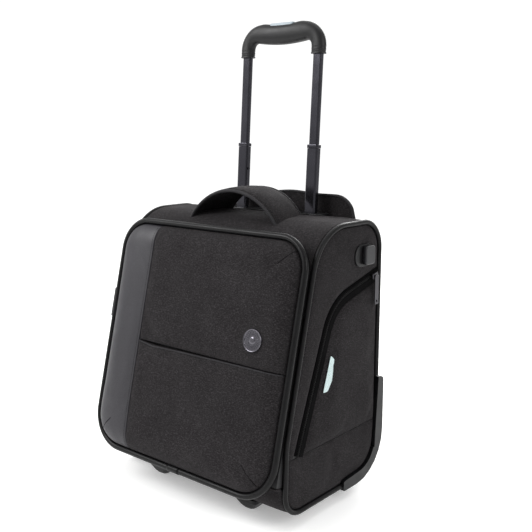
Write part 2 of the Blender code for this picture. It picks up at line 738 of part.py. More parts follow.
def build_carry_handle(case):
    """Padded bridge over the top panel; its ends are cut to the panel's curve."""
    radius = (HANDLE_HALF_CHORD ** 2 + HANDLE_RISE ** 2) / (2 * HANDLE_RISE)
    centre_z = HANDLE_APEX - radius
    angles = [math.radians(-66.0 + 132.0 * step / 16) for step in range(17)]
    outer = [Vector((radius * math.sin(a), centre_z + radius * math.cos(a))) for a in angles]
    inner_radius = radius - HANDLE_THICKNESS
    inner = [Vector((inner_radius * math.sin(a), centre_z + inner_radius * math.cos(a))) for a in angles]
    handle = add_prism("carry_handle", outer + inner[::-1], "Y", *HANDLE_Y, case)
    body = closed_outline(CASE_CORNERS, PANEL_OUT - GAP)
    tool = add_prism("case_outline", body, "X", -0.19, 0.19, case)
    apply_boolean(handle, tool, "DIFFERENCE")
    finish(handle, FABRIC)


def build_flap(case):
    """Handle flap behind the tubes, hinged along its sewn lower edge."""
    corners = [
        (-FLAP_HALF_WIDTH, FLAP_Z[0], 0.0),
        (-FLAP_HALF_WIDTH, FLAP_Z[1], FLAP_RADIUS),
        (FLAP_HALF_WIDTH, FLAP_Z[1], FLAP_RADIUS),
        (FLAP_HALF_WIDTH, FLAP_Z[0], 0.0),
    ]
    hinge = (0.0, FLAP_Y[1], FLAP_Z[0])
    flap = add_prism("handle_flap", closed_outline(corners), "Y", *FLAP_Y, case, hinge)
    finish(flap, FABRIC)


def build_usb(case):
    """Charging port on the right side: base, metal socket and hinged cap."""
    outline = rectangle(*USB_Y, *USB_Z, 0.0165, 5)
    base = add_prism("usb_port", outline, "X", *USB_X, case)
    centre_y, centre_z = SOCKET_CENTRE
    passage = add_box(
        "usb_passage",
        (0.19, 0.22),
        (centre_y - 0.0075, centre_y + 0.0075),
        (centre_z - 0.0036, centre_z + 0.0036),
        case,
    )
    apply_boolean(base, passage, "DIFFERENCE")
    finish(base, PLASTIC)

    socket = add_box(
        "usb_socket",
        (0.1905, 0.2044),
        (centre_y - 0.0072, centre_y + 0.0072),
        (centre_z - 0.0033, centre_z + 0.0033),
        case,
    )
    slot = add_box(
        "usb_slot",
        (0.1920, 0.21),
        (centre_y - 0.0063, centre_y + 0.0063),
        (centre_z - 0.0024, centre_z + 0.0024),
        case,
    )
    apply_boolean(socket, slot, "DIFFERENCE")
    finish(socket, STEEL)

    hinge = (USB_CAP_X[0], USB_CAP_Y[1], centre_z)
    cap_outline = rectangle(*USB_CAP_Y, *USB_CAP_Z, 0.005, 3)
    cap = add_prism("usb_cap", cap_outline, "X", *USB_CAP_X, case, hinge)
    add_bevel(cap, 0.0015, 1, 60.0)
    finish(cap, GREY_PLASTIC)


def build_tag(case):
    """Small woven tag sewn on the right pocket, beside its zip."""
    outline = closed_outline([
        (-0.0600, 0.1770, 0.001),
        (-0.0410, 0.2320, 0.001),
        (-0.0320, 0.2240, 0.001),
        (-0.0370, 0.1920, 0.004),
        (-0.0480, 0.1770, 0.003),
    ], steps=2)
    tag = add_prism("side_tag", outline, "X", POCKET_X[1] + GAP, POCKET_X[1] + 0.0013, case)
    finish(tag, TAG_CLOTH)


# ---------------------------------------------------------------- door


def cushion_shape():
    """Padded door front: flat back, edges rolled up to a level crown."""
    count = 6
    insets = [DOOR_FIELD_INSET]
    heights = [0.0005]
    for step in range(1, count + 1):
        angle = math.pi / 2 * step / count
        insets.append(DOOR_FIELD_INSET + DOOR_ROLL * (1.0 - math.cos(angle)))
        heights.append(DOOR_CROWN * math.sin(angle))
    rings = [[(p.x, DOOR_SKIN_Y, p.y) for p in closed_outline(DOOR_CORNERS, insets[0])]]
    for inset, height in zip(insets, heights):
        outline = closed_outline(DOOR_CORNERS, inset)
        rings.append([(p.x, DOOR_SKIN_Y - height, p.y) for p in outline])
    return loft_shape(rings)


def build_door(front):
    """Front door on one hinge line: board, piping, padded skins and badge; the zip stays on the case."""
    board = closed_outline(DOOR_CORNERS, DOOR_FIELD_INSET)
    finish(add_prism("door_board", board, "Y", -0.0118, -0.0084, front, DOOR_HINGE), BOARD)

    outer = closed_outline(DOOR_CORNERS, 0.0060)
    inner = closed_outline(DOOR_CORNERS, 0.0150)
    finish(add_ring("door_zip", outer, inner, "Y", -0.0080, -0.0004, front), PIPING)

    path = [(p.x, DOOR_PIPING_Y, p.y) for p in closed_outline(DOOR_CORNERS, DOOR_PIPING_RADIUS)]
    bead = sweep_shape(path, DOOR_PIPING_RADIUS, closed=True)
    finish(add_object("door_piping", bead, front, DOOR_HINGE), PIPING)

    seam = 0.0003
    wide = 0.25
    skins = [
        ("door_strip", (-wide, STRIP_EDGE_X - seam), (-wide, 2 * wide), SMOOTH_FABRIC),
        ("door_upper_skin", (STRIP_EDGE_X + seam, wide), (SLIT_HEIGHT + seam, 2 * wide), FABRIC),
        ("door_lower_skin", (STRIP_EDGE_X + seam, wide), (-wide, SLIT_HEIGHT - seam), FABRIC),
    ]
    for name, x_span, z_span, look in skins:
        skin = add_object(name, cushion_shape(), front, DOOR_HINGE)
        region = add_box(name + "_region", x_span, (-0.06, 0.0), z_span, front)
        apply_boolean(skin, region, "INTERSECT")
        finish(skin, look)

    face = DOOR_SKIN_Y - DOOR_CROWN
    disc = cylinder_shape(BADGE_RADIUS, "Y", BADGE, face - 0.0033, face - GAP, 28)
    badge = add_object("badge", disc, front, DOOR_HINGE)
    add_bevel(badge, 0.0008, 1, 60.0)
    finish(badge, DARK_CHROME)


def build_door_slider(front):
    """Slider of the door zip on its straight left stretch, and its hanging pull."""
    slider = add_box("door_slider", (-0.2095, -0.1954), (-0.0080, -0.0006), (0.293, 0.305), front)
    finish(slider, DARK_CHROME)
    pivot = (-0.2115, -0.0043, 0.299)
    outline = rectangle(-0.0083, -0.0003, 0.249, 0.2998, 0.0022)
    pull = add_prism("door_pull", outline, "X", -0.2125, -0.2105, front, pivot)
    hole = cylinder_shape(0.0020, "X", (-0.0043, 0.2545), -0.22, -0.20, 10)
    apply_boolean(pull, add_object("door_pull_hole", hole, front), "DIFFERENCE")
    finish(pull, DARK_CHROME)


def main():
    clear_scene()
    case = add_empty("case_frame", (0.0, CASE_Y, FLOOR_GAP))
    front = add_empty("front_plane", (0.0, FRONT, 0.0), math.atan(FRONT_SLOPE), case)
    axis = add_empty("trolley_axis", (0.0, TUBE_Y, TUBE_Z), math.atan(TUBE_LEAN), case)
    build_shell(case, front)
    for side, sign in (("right", 1), ("left", -1)):
        build_side(case, side, sign)
        build_pocket_slider(case, side, sign)
        build_guard(case, side, sign)
        build_foot(case, side, sign)
    build_trolley(case, axis)
    build_carry_handle(case)
    build_flap(case)
    build_usb(case)
    build_tag(case)
    build_door(front)
    build_door_slider(front)


main()
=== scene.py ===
"""Looks of the pilot rolling flight case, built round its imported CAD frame."""

import math
import random

import bmesh
import bpy
import numpy as np
from mathutils import Matrix, Vector
from mathutils.bvhtree import BVHTree


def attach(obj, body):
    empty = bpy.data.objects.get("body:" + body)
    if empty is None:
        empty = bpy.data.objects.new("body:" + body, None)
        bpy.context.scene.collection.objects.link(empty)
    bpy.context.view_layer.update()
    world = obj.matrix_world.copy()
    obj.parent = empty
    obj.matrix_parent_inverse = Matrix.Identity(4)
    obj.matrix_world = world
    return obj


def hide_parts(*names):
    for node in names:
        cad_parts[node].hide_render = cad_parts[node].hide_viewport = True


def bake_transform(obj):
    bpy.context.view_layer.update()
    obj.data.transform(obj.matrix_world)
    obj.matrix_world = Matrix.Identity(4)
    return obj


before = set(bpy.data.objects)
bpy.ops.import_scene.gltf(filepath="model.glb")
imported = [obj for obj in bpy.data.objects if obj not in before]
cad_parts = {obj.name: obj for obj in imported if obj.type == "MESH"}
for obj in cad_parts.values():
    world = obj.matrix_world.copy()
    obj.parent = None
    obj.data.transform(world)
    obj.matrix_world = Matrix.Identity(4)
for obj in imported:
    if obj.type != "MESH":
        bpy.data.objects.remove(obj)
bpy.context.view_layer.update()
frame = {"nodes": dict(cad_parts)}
nodes = frame["nodes"]

# ---------------------------------------------------------------- the frame's driving dimensions, in metres

FLOOR_GAP = 0.020
FRONT = -0.1747
FRONT_SLOPE = 0.2451
CASE_Y = (0.18825 - 0.1115) / 2
BACK = 0.100
BODY_HEIGHT = 0.430
FIELD_INSET = 0.009
PIPING_RADIUS = 0.004
PIPING_X = 0.198
HALF_PANEL = 0.1935

CORNER_BOTTOM_FRONT = (-0.1500, 0.0, 0.040)
CORNER_KNEE = (FRONT + FRONT_SLOPE * 0.115, 0.115, 0.100)
CORNER_TOP_FRONT = (FRONT + FRONT_SLOPE * BODY_HEIGHT, BODY_HEIGHT, 0.085)
CORNER_TOP_REAR = (BACK, BODY_HEIGHT, 0.050)
CORNER_BOTTOM_REAR = (BACK, 0.0, 0.065)
CASE_CORNERS = [CORNER_BOTTOM_FRONT, CORNER_KNEE, CORNER_TOP_FRONT, CORNER_TOP_REAR, CORNER_BOTTOM_REAR]

DOOR_HALF = 0.201
DOOR_LOW = 0.0300
DOOR_HIGH = 0.4275
DOOR_ROUND_TOP = 0.055
DOOR_ROUND_LOW = 0.065
DOOR_CORNERS = [
    (-DOOR_HALF, DOOR_LOW, DOOR_ROUND_LOW),
    (-DOOR_HALF, DOOR_HIGH, DOOR_ROUND_TOP),
    (DOOR_HALF, DOOR_HIGH, DOOR_ROUND_TOP),
    (DOOR_HALF, DOOR_LOW, DOOR_ROUND_LOW),
]
DOOR_FIELD = 0.0105
DOOR_SKIN_Y = -0.0122
DOOR_CROWN = 0.018
DOOR_ROLL = 0.032
STRIP_EDGE = -0.109
SLIT = 0.2248
BADGE = (0.134, 0.2648)

FIELD_HALF = DOOR_HALF - DOOR_FIELD
FIELD_LOW = DOOR_LOW + DOOR_FIELD
FIELD_HIGH = DOOR_HIGH - DOOR_FIELD
RADIUS_TOP = DOOR_ROUND_TOP - DOOR_FIELD
RADIUS_LOW = DOOR_ROUND_LOW - DOOR_FIELD

ZIP_BEND = (-0.0391, 0.3159)
ZIP_BEND_RADIUS = 0.0875
ZIP_UPPER_SLOPE = 0.262
ZIP_LOWER_SLOPE = 2.59
# Width of the black zip band on the sides: zip tape and, beside it, a strip of painted shade.
ZIP_BAND = 0.022
SEAM_HEIGHT = 0.0920
SIDE_BASE = 0.1968
ZIP_X = 0.1980

GUARD_NOTCH = 0.1275
WELL_NOTCH = 0.1065
HANDLE_ACROSS = (-0.0390, 0.0440)
HANDLE_HIGH = 0.4748
AXIS_Y = 0.0719
AXIS_Z = 0.400
AXIS_SLOPE = 0.0654

CASE_MATRIX = Matrix.Translation((0.0, CASE_Y, FLOOR_GAP))


def leaning(y, z, slope):
    """Matrix of a plane that starts at y, z in the case and leans back by a slope."""
    return CASE_MATRIX @ Matrix.Translation((0.0, y, z)) @ Matrix.Rotation(-math.atan(slope), 4, "X")


FRONT_MATRIX = leaning(FRONT, 0.0, FRONT_SLOPE)
AXIS_MATRIX = leaning(AXIS_Y, AXIS_Z, AXIS_SLOPE)
INTO_DOOR = FRONT_MATRIX.to_3x3() @ Vector((0.0, 1.0, 0.0))

# ---------------------------------------------------------------- materials


class Graph:
    """A material's node tree, with short calls to grow it."""

    def __init__(self, name, colour, roughness, metallic=0.0):
        self.material = bpy.data.materials.new(name)
        self.material.use_nodes = True
        self.tree = self.material.node_tree
        self.shader = self.tree.nodes["Principled BSDF"]
        self.shade({"Base Color": (*colour, 1.0), "Roughness": roughness, "Metallic": metallic})
        self.place = self.node("ShaderNodeTexCoord").outputs["Object"]

    def put(self, target, value):
        """Gives an input a value, or links another node's output to it."""
        if isinstance(value, bpy.types.NodeSocket):
            self.tree.links.new(value, target)
        else:
            target.default_value = value

    def shade(self, inputs):
        for key, value in inputs.items():
            self.put(self.shader.inputs[key], value)

    def node(self, kind, inputs=None, **settings):
        made = self.tree.nodes.new(kind)
        for key, value in settings.items():
            setattr(made, key, value)
        for key, value in (inputs or {}).items():
            self.put(made.inputs[key], value)
        return made

    def noise(self, scale, detail=3.0, stretch=None):
        """Noise of so many cells per metre; stretch squeezes it along the axes."""
        place = self.place
        if stretch:
            place = self.node("ShaderNodeMapping", {"Scale": stretch, "Vector": place}).outputs["Vector"]
        inputs = {"Scale": scale, "Detail": detail, "Vector": place}
        return self.node("ShaderNodeTexNoise", inputs).outputs["Fac"]

    def math(self, operation, *values):
        return self.node("ShaderNodeMath", dict(enumerate(values)), operation=operation).outputs[0]

    def ramp(self, source, *stops):
        """Ramp of (position, grey or colour) stops."""
        made = self.node("ShaderNodeValToRGB", {"Fac": source})
        elements = made.color_ramp.elements
        while len(elements) < len(stops):
            elements.new(0.5)
        for element, (position, value) in zip(elements, stops):
            element.position = position
            colour = value if isinstance(value, tuple) else (value, value, value)
            element.color = (*colour, 1.0)
        return made.outputs["Color"]

    def multiply(self, first, second):
        """Product of two colours."""
        made = self.node("ShaderNodeMix", {"Factor": 1.0}, data_type="RGBA", blend_type="MULTIPLY")
        colours = [socket for socket in made.inputs if socket.type == "RGBA"]
        self.put(colours[0], first)
        self.put(colours[1], second)
        return next(socket for socket in made.outputs if socket.type == "RGBA")

    def weave(self, pitch):
        """Grid of thread crossings that shows on a face of any direction, from 0 to 1."""
        total = 0.0
        for output in self.node("ShaderNodeSeparateXYZ", {0: self.place}).outputs:
            wave = self.math("SINE", self.math("MULTIPLY", output, math.tau / pitch))
            total = self.math("ADD", total, wave)
        return self.math("MULTIPLY_ADD", total, 1.0 / 6.0, 0.5)

    def bump(self, height, strength, distance):
        inputs = {"Strength": strength, "Distance": distance, "Height": height}
        self.shade({"Normal": self.node("ShaderNodeBump", inputs).outputs["Normal"]})


def scaled(colour, factor):
    return tuple(min(1.0, part * factor) for part in colour)


def cloth_look(name, colour, light, pitch, rough, sheen, contrast, bump, gloss):
    """Woven cloth: dark and light threads, a slow unevenness, and thread crossings in the bump."""
    look = Graph(name, colour, rough)
    threads = look.noise(1.0 / pitch, 2.0)
    across = look.noise(1.1 / pitch, 2.0, (0.30, 0.30, 1.0))
    fleck = look.math("MULTIPLY_ADD", across, 0.50, look.math("MULTIPLY", threads, 0.50))
    dark_stop = (0.50 - 0.20 * contrast, scaled(colour, 0.55))
    tone = look.ramp(fleck, dark_stop, (0.5, colour), (0.50 + 0.28 * contrast, light))
    slow = look.ramp(look.noise(9.0), (0.30, 0.86), (0.70, 1.10))
    height = look.math("MULTIPLY_ADD", look.weave(pitch * 1.15), 0.6, look.math("MULTIPLY", threads, 0.5))
    look.bump(height, bump, pitch * 0.5)
    look.shade({
        "Base Color": look.multiply(tone, slow),
        "Roughness": look.ramp(look.noise(26.0, 4.0), (0.35, rough - 0.06), (0.65, min(1.0, rough + 0.05))),
        "Specular IOR Level": gloss,
        "Sheen Weight": sheen,
        "Sheen Roughness": 0.45,
        "Sheen Tint": (*scaled(light, 3.0), 1.0),
    })
    return look.material


def moulded_look(name, colour, rough, grain, bump, gloss):
    """Moulded plastic or rubber: fine spark texture, rubbed patches, faint colour change."""
    look = Graph(name, colour, rough)
    glossy, dull = (0.32, max(0.05, rough - 0.09)), (0.68, min(1.0, rough + 0.07))
    dark, pale = (0.30, scaled(colour, 0.85)), (0.70, scaled(colour, 1.22))
    look.shade({
        "Base Color": look.ramp(look.noise(14.0, 4.0), dark, pale),
        "Roughness": look.ramp(look.noise(34.0, 5.0), glossy, dull),
        "Specular IOR Level": gloss,
    })
    look.bump(look.noise(grain), bump, 0.0002)
    return look.material


def metal_look(name, colour, rough, stretch, grain, metallic):
    """Drawn or plated metal: fine lines along one axis, small changes of gloss."""
    look = Graph(name, colour, rough, metallic)
    lines = look.noise(grain, 3.0, stretch)
    slow = look.noise(18.0)
    fine = look.math("MULTIPLY_ADD", lines, 0.10, rough - 0.13)
    look.shade({
        "Roughness": look.math("MULTIPLY_ADD", slow, 0.16, fine),
        "Base Color": look.ramp(slow, (0.3, scaled(colour, 0.9)), (0.7, scaled(colour, 1.1))),
    })
    look.bump(lines, 0.06, 0.0001)
    return look.material


HEATHER = (0.0100, 0.0089, 0.0095)
HEATHER_LIGHT = (0.040, 0.0363, 0.0387)
EVEN = (1.0, 1.0, 1.0)
DRAWN = (1.0, 1.0, 0.05)

# Material, colour, light threads, thread pitch, roughness, sheen, contrast, bump and gloss of each cloth.
CLOTHS = {
    "fabric": (
        "heather_weave", HEATHER, HEATHER_LIGHT,
        0.0011, 0.90, 0.18, 0.72, 0.50, 0.14,
    ),
    # The heather at 95 % for the side panels: painted shade.
    "shaded_side_fabric": (
        "heather_weave_sides", scaled(HEATHER, 0.95), HEATHER_LIGHT,
        0.0011, 0.90, 0.16, 0.72, 0.50, 0.14,
    ),
    "smooth_fabric": (
        "smooth_nylon", (0.0150, 0.0138, 0.0178), (0.024, 0.0225, 0.0280),
        0.0006, 0.50, 0.03, 0.40, 0.12, 0.34,
    ),
    "piping": (
        "coated_piping", (0.0036, 0.0035, 0.0038), (0.0080, 0.0077, 0.0083),
        0.0007, 0.38, 0.0, 0.50, 0.25, 0.14,
    ),
    "zip_tape": (
        "zip_tape_weave", (0.0035, 0.0034, 0.0037), (0.0085, 0.0082, 0.0088),
        0.0008, 0.80, 0.0, 0.60, 0.50, 0.05,
    ),
    # Near-black gusset cloth, darker than the zip tape: painted shade for the side zip band and the darts.
    "gusset": (
        "gusset_weave", (0.0022, 0.0021, 0.0023), (0.0050, 0.0048, 0.0052),
        0.0009, 0.85, 0.0, 0.60, 0.40, 0.03,
    ),
    "binding": (
        "binding_weave", (0.0170, 0.0163, 0.0178), (0.036, 0.035, 0.038),
        0.0008, 0.65, 0.12, 0.60, 0.40, 0.14,
    ),
    "thread": (
        "sewing_thread", (0.0140, 0.0132, 0.0140), (0.028, 0.0265, 0.028),
        0.0004, 0.70, 0.10, 0.50, 0.30, 0.14,
    ),
    "lining": (
        "lining_weave", (0.045, 0.045, 0.047), (0.075, 0.075, 0.078),
        0.0006, 0.82, 0.12, 0.50, 0.30, 0.14,
    ),
    "tag_cloth": (
        "satin_tag_weave", (0.50, 0.62, 0.62), (0.62, 0.74, 0.74),
        0.0005, 0.60, 0.25, 0.40, 0.20, 0.14,
    ),
}
# Material, colour, roughness, grain per metre, bump and gloss of each moulding.
MOULDINGS = {
    "coil": ("zip_coil_nylon", (0.0024, 0.0023, 0.0025), 0.50, 1200.0, 0.10, 0.07),
    "board": ("fluted_board", (0.012, 0.012, 0.0128), 0.62, 700.0, 0.12, 0.50),
    "plastic": ("textured_plastic", (0.0034, 0.0034, 0.0039), 0.38, 1500.0, 0.14, 0.24),
    "grip_plastic": ("soft_touch_grip", (0.0050, 0.0049, 0.0054), 0.46, 2200.0, 0.12, 0.26),
    "grey_plastic": ("grey_satin_plastic", (0.0115, 0.0115, 0.0135), 0.36, 1900.0, 0.10, 0.35),
    "button": ("button_satin_plastic", (0.30, 0.350, 0.385), 0.40, 1900.0, 0.06, 0.35),
    "rubber": ("wheel_rubber", (0.013, 0.013, 0.0135), 0.74, 900.0, 0.30, 0.30),
}
# Material, colour, roughness, direction of the lines, lines per metre and metallic share of each metal.
METALS = {
    "tube_paint": ("black_anodised_tube", (0.046, 0.045, 0.053), 0.17, DRAWN, 900.0, 0.90),
    "steel": ("drawn_steel", (0.52, 0.52, 0.54), 0.36, DRAWN, 900.0, 1.0),
    "dark_chrome": ("gunmetal_plating", (0.060, 0.058, 0.064), 0.30, EVEN, 500.0, 1.0),
    "badge": ("badge_plating", (0.095, 0.092, 0.104), 0.24, EVEN, 700.0, 0.90),
}
looks = {}
for make_look, table in ((cloth_look, CLOTHS), (moulded_look, MOULDINGS), (metal_look, METALS)):
    for look_name, values in table.items():
        looks[look_name] = make_look(*values)

# ---------------------------------------------------------------- outlines


def arc_corner(before, corner, radius, after, inset, steps):
    """Points of a rounded corner, moved by inset towards the right-hand side of the path."""
    corner = Vector(corner)
    back = (Vector(before) - corner).normalized()
    ahead = (Vector(after) - corner).normalized()
    half = back.angle(ahead) / 2
    if radius <= 0.0:
        inward = Vector((-back.y, back.x)) + Vector((ahead.y, -ahead.x))
        return [corner + inward.normalized() * inset / math.sin(half)]
    centre = corner + (back + ahead).normalized() * radius / math.sin(half)
    first = corner + back * radius / math.tan(half) - centre
    last = corner + ahead * radius / math.tan(half) - centre
    start = math.atan2(first.y, first.x)
    sweep = math.atan2(first.x * last.y - first.y * last.x, first.dot(last))
    reach = radius - (inset if sweep < 0.0 else -inset)
    angles = [start + sweep * step / steps for step in range(steps + 1)]
    return [centre + Vector((math.cos(angle), math.sin(angle))) * reach for angle in angles]


def closed_outline(corners, inset=0.0, steps=14):
    points = []
    for index, (a, b, radius) in enumerate(corners):
        after = corners[(index + 1) % len(corners)][:2]
        points.extend(arc_corner(corners[index - 1][:2], (a, b), radius, after, inset, steps))
    return points


def open_outline(corners, inset=0.0, steps=14):
    points = []
    for index, (a, b, radius) in enumerate(corners):
        here = Vector((a, b))
        if index in (0, len(corners) - 1):
            other = Vector(corners[1][:2]) if index == 0 else Vector(corners[index - 1][:2])
            ahead = (other - here if index == 0 else here - other).normalized()
            points.append(here + Vector((ahead.y, -ahead.x)) * inset)
        else:
            before, after = corners[index - 1][:2], corners[index + 1][:2]
            points.extend(arc_corner(before, (a, b), radius, after, inset, steps))
    return points


def resample(points, step, closed=False):
    """Points at equal distances of about step along a path in two or three dimensions."""
    path = np.array([tuple(point) for point in points], float)
    if closed:
        path = np.vstack([path, path[:1]])
    lengths = np.linalg.norm(np.diff(path, axis=0), axis=1)
    along = np.concatenate([[0.0], np.cumsum(lengths)])
    count = max(2, int(round(along[-1] / step)))
    places = np.linspace(0.0, along[-1], count + 1)
    if closed:
        places = places[:-1]
    return np.stack([np.interp(places, along, path[:, axis]) for axis in range(path.shape[1])], axis=1)


def edge_distance(points, outline):
    """Distance of each 2-D point to the nearest stretch of a closed outline."""
    starts = np.array([tuple(point) for point in outline], float)
    best = np.full(len(points), 1e9)
    for start, end in zip(starts, np.roll(starts, -1, axis=0)):
        run = end - start
        size = run @ run
        if size < 1e-14:
            continue
        share = np.clip(((points - start) @ run) / size, 0.0, 1.0)
        best = np.minimum(best, np.linalg.norm(points - start - share[:, None] * run, axis=1))
    return best
# ---------------------------------------------------------------- pieces


def make_piece(name, points, faces, look, matrix=None):
    """Object whose mesh is already in the frame's coordinates."""
    mesh = bpy.data.meshes.new(name)
    mesh.from_pydata([tuple(map(float, point)) for point in points], [], [tuple(face) for face in faces])
    if matrix is not None:
        mesh.transform(matrix)
    mesh.update()
    piece = bpy.data.objects.new(name, mesh)
    bpy.context.scene.collection.objects.link(piece)
    piece.data.materials.append(looks[look])
    mesh.shade_smooth()
    return piece


def fix_normals(piece):
    shape = bmesh.new()
    shape.from_mesh(piece.data)
    bmesh.ops.recalc_face_normals(shape, faces=shape.faces)
    if shape.calc_volume(signed=True) < 0.0:
        bmesh.ops.reverse_faces(shape, faces=shape.faces)
    shape.to_mesh(piece.data)
    shape.free()
    return piece


def settle(piece, body, look, *stood_for):
    """Ride on a body and stand for CAD nodes; the look is not used."""
    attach(piece, body)
    if stood_for:
        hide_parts(*stood_for)


def add_piece(name, shape, look, body, *stood_for, matrix=None, crisp=None):
    """Settled piece of the given points and faces; bends over crisp degrees stay sharp."""
    piece = make_piece(name, *shape, look, matrix)
    if crisp:
        modifier = piece.modifiers.new("crisp", "EDGE_SPLIT")
        modifier.split_angle = math.radians(crisp)
    settle(fix_normals(piece), body, look, *stood_for)


def noise_field(points, scale, seed):
    """Smooth seeded unevenness, about -1 to 1, from a few slanted waves."""
    dice = random.Random(seed)
    points = np.asarray(points, float)
    total = np.zeros(len(points))
    for _ in range(9):
        angle = [dice.uniform(-1.0, 1.0) for _ in range(points.shape[1])]
        wave = np.array(angle) / (np.linalg.norm(angle) + 1e-9) * scale * dice.uniform(0.6, 1.6)
        total += np.sin(points @ wave * math.tau + dice.uniform(0.0, math.tau))
    return total / 4.0


def shell(name, flat, faces, front, back, place, look, matrix):
    """Closed piece over a flat patch.

    front and back are each flat point's height, and place puts (a, b, height) in 3-D.
    """
    count = len(flat)
    points = [place(a, b, h) for (a, b), h in zip(flat, front)]
    points += [place(a, b, h) for (a, b), h in zip(flat, back)]
    edges = {}
    for face in faces:
        for first, second in zip(face, face[1:] + face[:1]):
            edges[(first, second)] = edges.get((first, second), 0) + 1
    sides = [
        (second, first, first + count, second + count)
        for first, second in edges
        if (second, first) not in edges
    ]
    turned = [tuple(index + count for index in face[::-1]) for face in faces]
    piece = make_piece(name, points, list(map(tuple, faces)) + turned + sides, look, matrix)
    return fix_normals(piece)


def patch(outline, step):
    """Flat patch inside an outline, cut to a grid: 2-D points and faces."""
    shape = bmesh.new()
    border = resample(outline, step * 0.7, closed=True)
    shape.faces.new([shape.verts.new((a, b, 0.0)) for a, b in border])
    low, high = border.min(0), border.max(0)
    for axis in (0, 1):
        count = int((high[axis] - low[axis]) / step)
        for index in range(1, count + 1):
            place = [0.0, 0.0, 0.0]
            place[axis] = low[axis] + (high[axis] - low[axis]) * (index - 0.5) / count
            normal = [0.0, 0.0, 0.0]
            normal[axis] = 1.0
            everything = shape.verts[:] + shape.edges[:] + shape.faces[:]
            bmesh.ops.bisect_plane(shape, geom=everything, dist=1e-7, plane_co=place, plane_no=normal)
    bmesh.ops.remove_doubles(shape, verts=shape.verts, dist=step * 0.12)
    shape.verts.index_update()
    flat = np.array([(v.co.x, v.co.y) for v in shape.verts])
    faces = [[v.index for v in face.verts] for face in shape.faces if face.calc_area() > 1e-10]
    shape.free()
    return flat, faces


PUFF_FRAMES = 18
CLOTH_STIFFNESS = 12.0


def puff(piece, held, pressure, cap, slack):
    """Cloth simulation of a closed pad: its back and held points stay, the rest swells by up to cap."""
    pinned = np.concatenate([held, np.ones(len(held), bool)])
    rest = np.zeros(len(pinned) * 3)
    piece.data.vertices.foreach_get("co", rest)
    rest = rest.reshape(-1, 3)
    group = piece.vertex_groups.new(name="pinned")
    group.add([int(index) for index in np.nonzero(pinned)[0]], 1.0, "REPLACE")
    cloth = piece.modifiers.new("cloth", "CLOTH")
    settings = cloth.settings
    settings.quality = 4
    settings.mass = 0.25
    settings.tension_stiffness = CLOTH_STIFFNESS
    settings.compression_stiffness = CLOTH_STIFFNESS
    settings.shear_stiffness = CLOTH_STIFFNESS * 0.5
    settings.bending_stiffness = 0.4
    settings.use_pressure = True
    settings.uniform_pressure_force = pressure
    settings.shrink_min = -slack
    settings.vertex_group_mass = "pinned"
    settings.effector_weights.gravity = 0.0
    cloth.collision_settings.use_collision = False
    cloth.collision_settings.use_self_collision = False
    cloth.point_cache.frame_start = 1
    cloth.point_cache.frame_end = PUFF_FRAMES
    scene = bpy.context.scene
    for step in range(1, PUFF_FRAMES + 1):
        scene.frame_set(step)
    view = piece.evaluated_get(bpy.context.evaluated_depsgraph_get())
    swollen = np.zeros(len(rest) * 3)
    view.data.vertices.foreach_get("co", swollen)
    move = swollen.reshape(-1, 3) - rest
    size = np.linalg.norm(move, axis=1)
    move *= (np.minimum(size, cap) / np.maximum(size, 1e-9))[:, None]
    move[pinned] = 0.0
    piece.modifiers.remove(cloth)
    piece.vertex_groups.clear()
    piece.data.vertices.foreach_set("co", (rest + move).ravel())
    piece.data.update()
    scene.frame_set(1)


def subdivide(piece):
    modifier = piece.modifiers.new("smooth_cage", "SUBSURF")
    modifier.levels = 1
    modifier.render_levels = 1


def finish_pad(piece, body, look, fill, *stood_for):
    """Smooths a padded piece and settles it on its body; fill is not used."""
    subdivide(piece)
    settle(piece, body, look, *stood_for)


def ring_faces(rings, size, closed=False):
    """Faces between neighbouring rings of a tube; an open tube is capped at its ends."""
    faces = []
    for index in range(rings if closed else rings - 1):
        here, there = index * size, ((index + 1) % rings) * size
        for step in range(size):
            follow = (step + 1) % size
            faces.append((here + step, here + follow, there + follow, there + step))
    if not closed:
        faces.append(tuple(range(size))[::-1])
        faces.append(tuple((rings - 1) * size + step for step in range(size)))
    return faces


def sweep(path, section, up, closed=False):
    """Points and faces of a section (2-D ring) carried along a 3-D path."""
    path = [Vector(point) for point in path]
    count = len(path)
    points = []
    for index, point in enumerate(path):
        before = path[index - 1] if closed or index > 0 else point
        after = path[(index + 1) % count] if closed or index < count - 1 else point
        tangent = (after - before).normalized()
        side = tangent.cross(Vector(up)).normalized()
        normal = side.cross(tangent).normalized()
        points += [point + side * a + normal * b for a, b in section]
    return points, ring_faces(count, len(section), closed)


def circle(radius, sides, squash=1.0):
    return [
        (radius * math.cos(math.tau * k / sides), squash * radius * math.sin(math.tau * k / sides))
        for k in range(sides)
    ]


def merge(parts):
    """One list of points and faces from several."""
    points, faces = [], []
    for part_points, part_faces in parts:
        start = len(points)
        points.extend(part_points)
        faces.extend(tuple(index + start for index in face) for face in part_faces)
    return points, faces


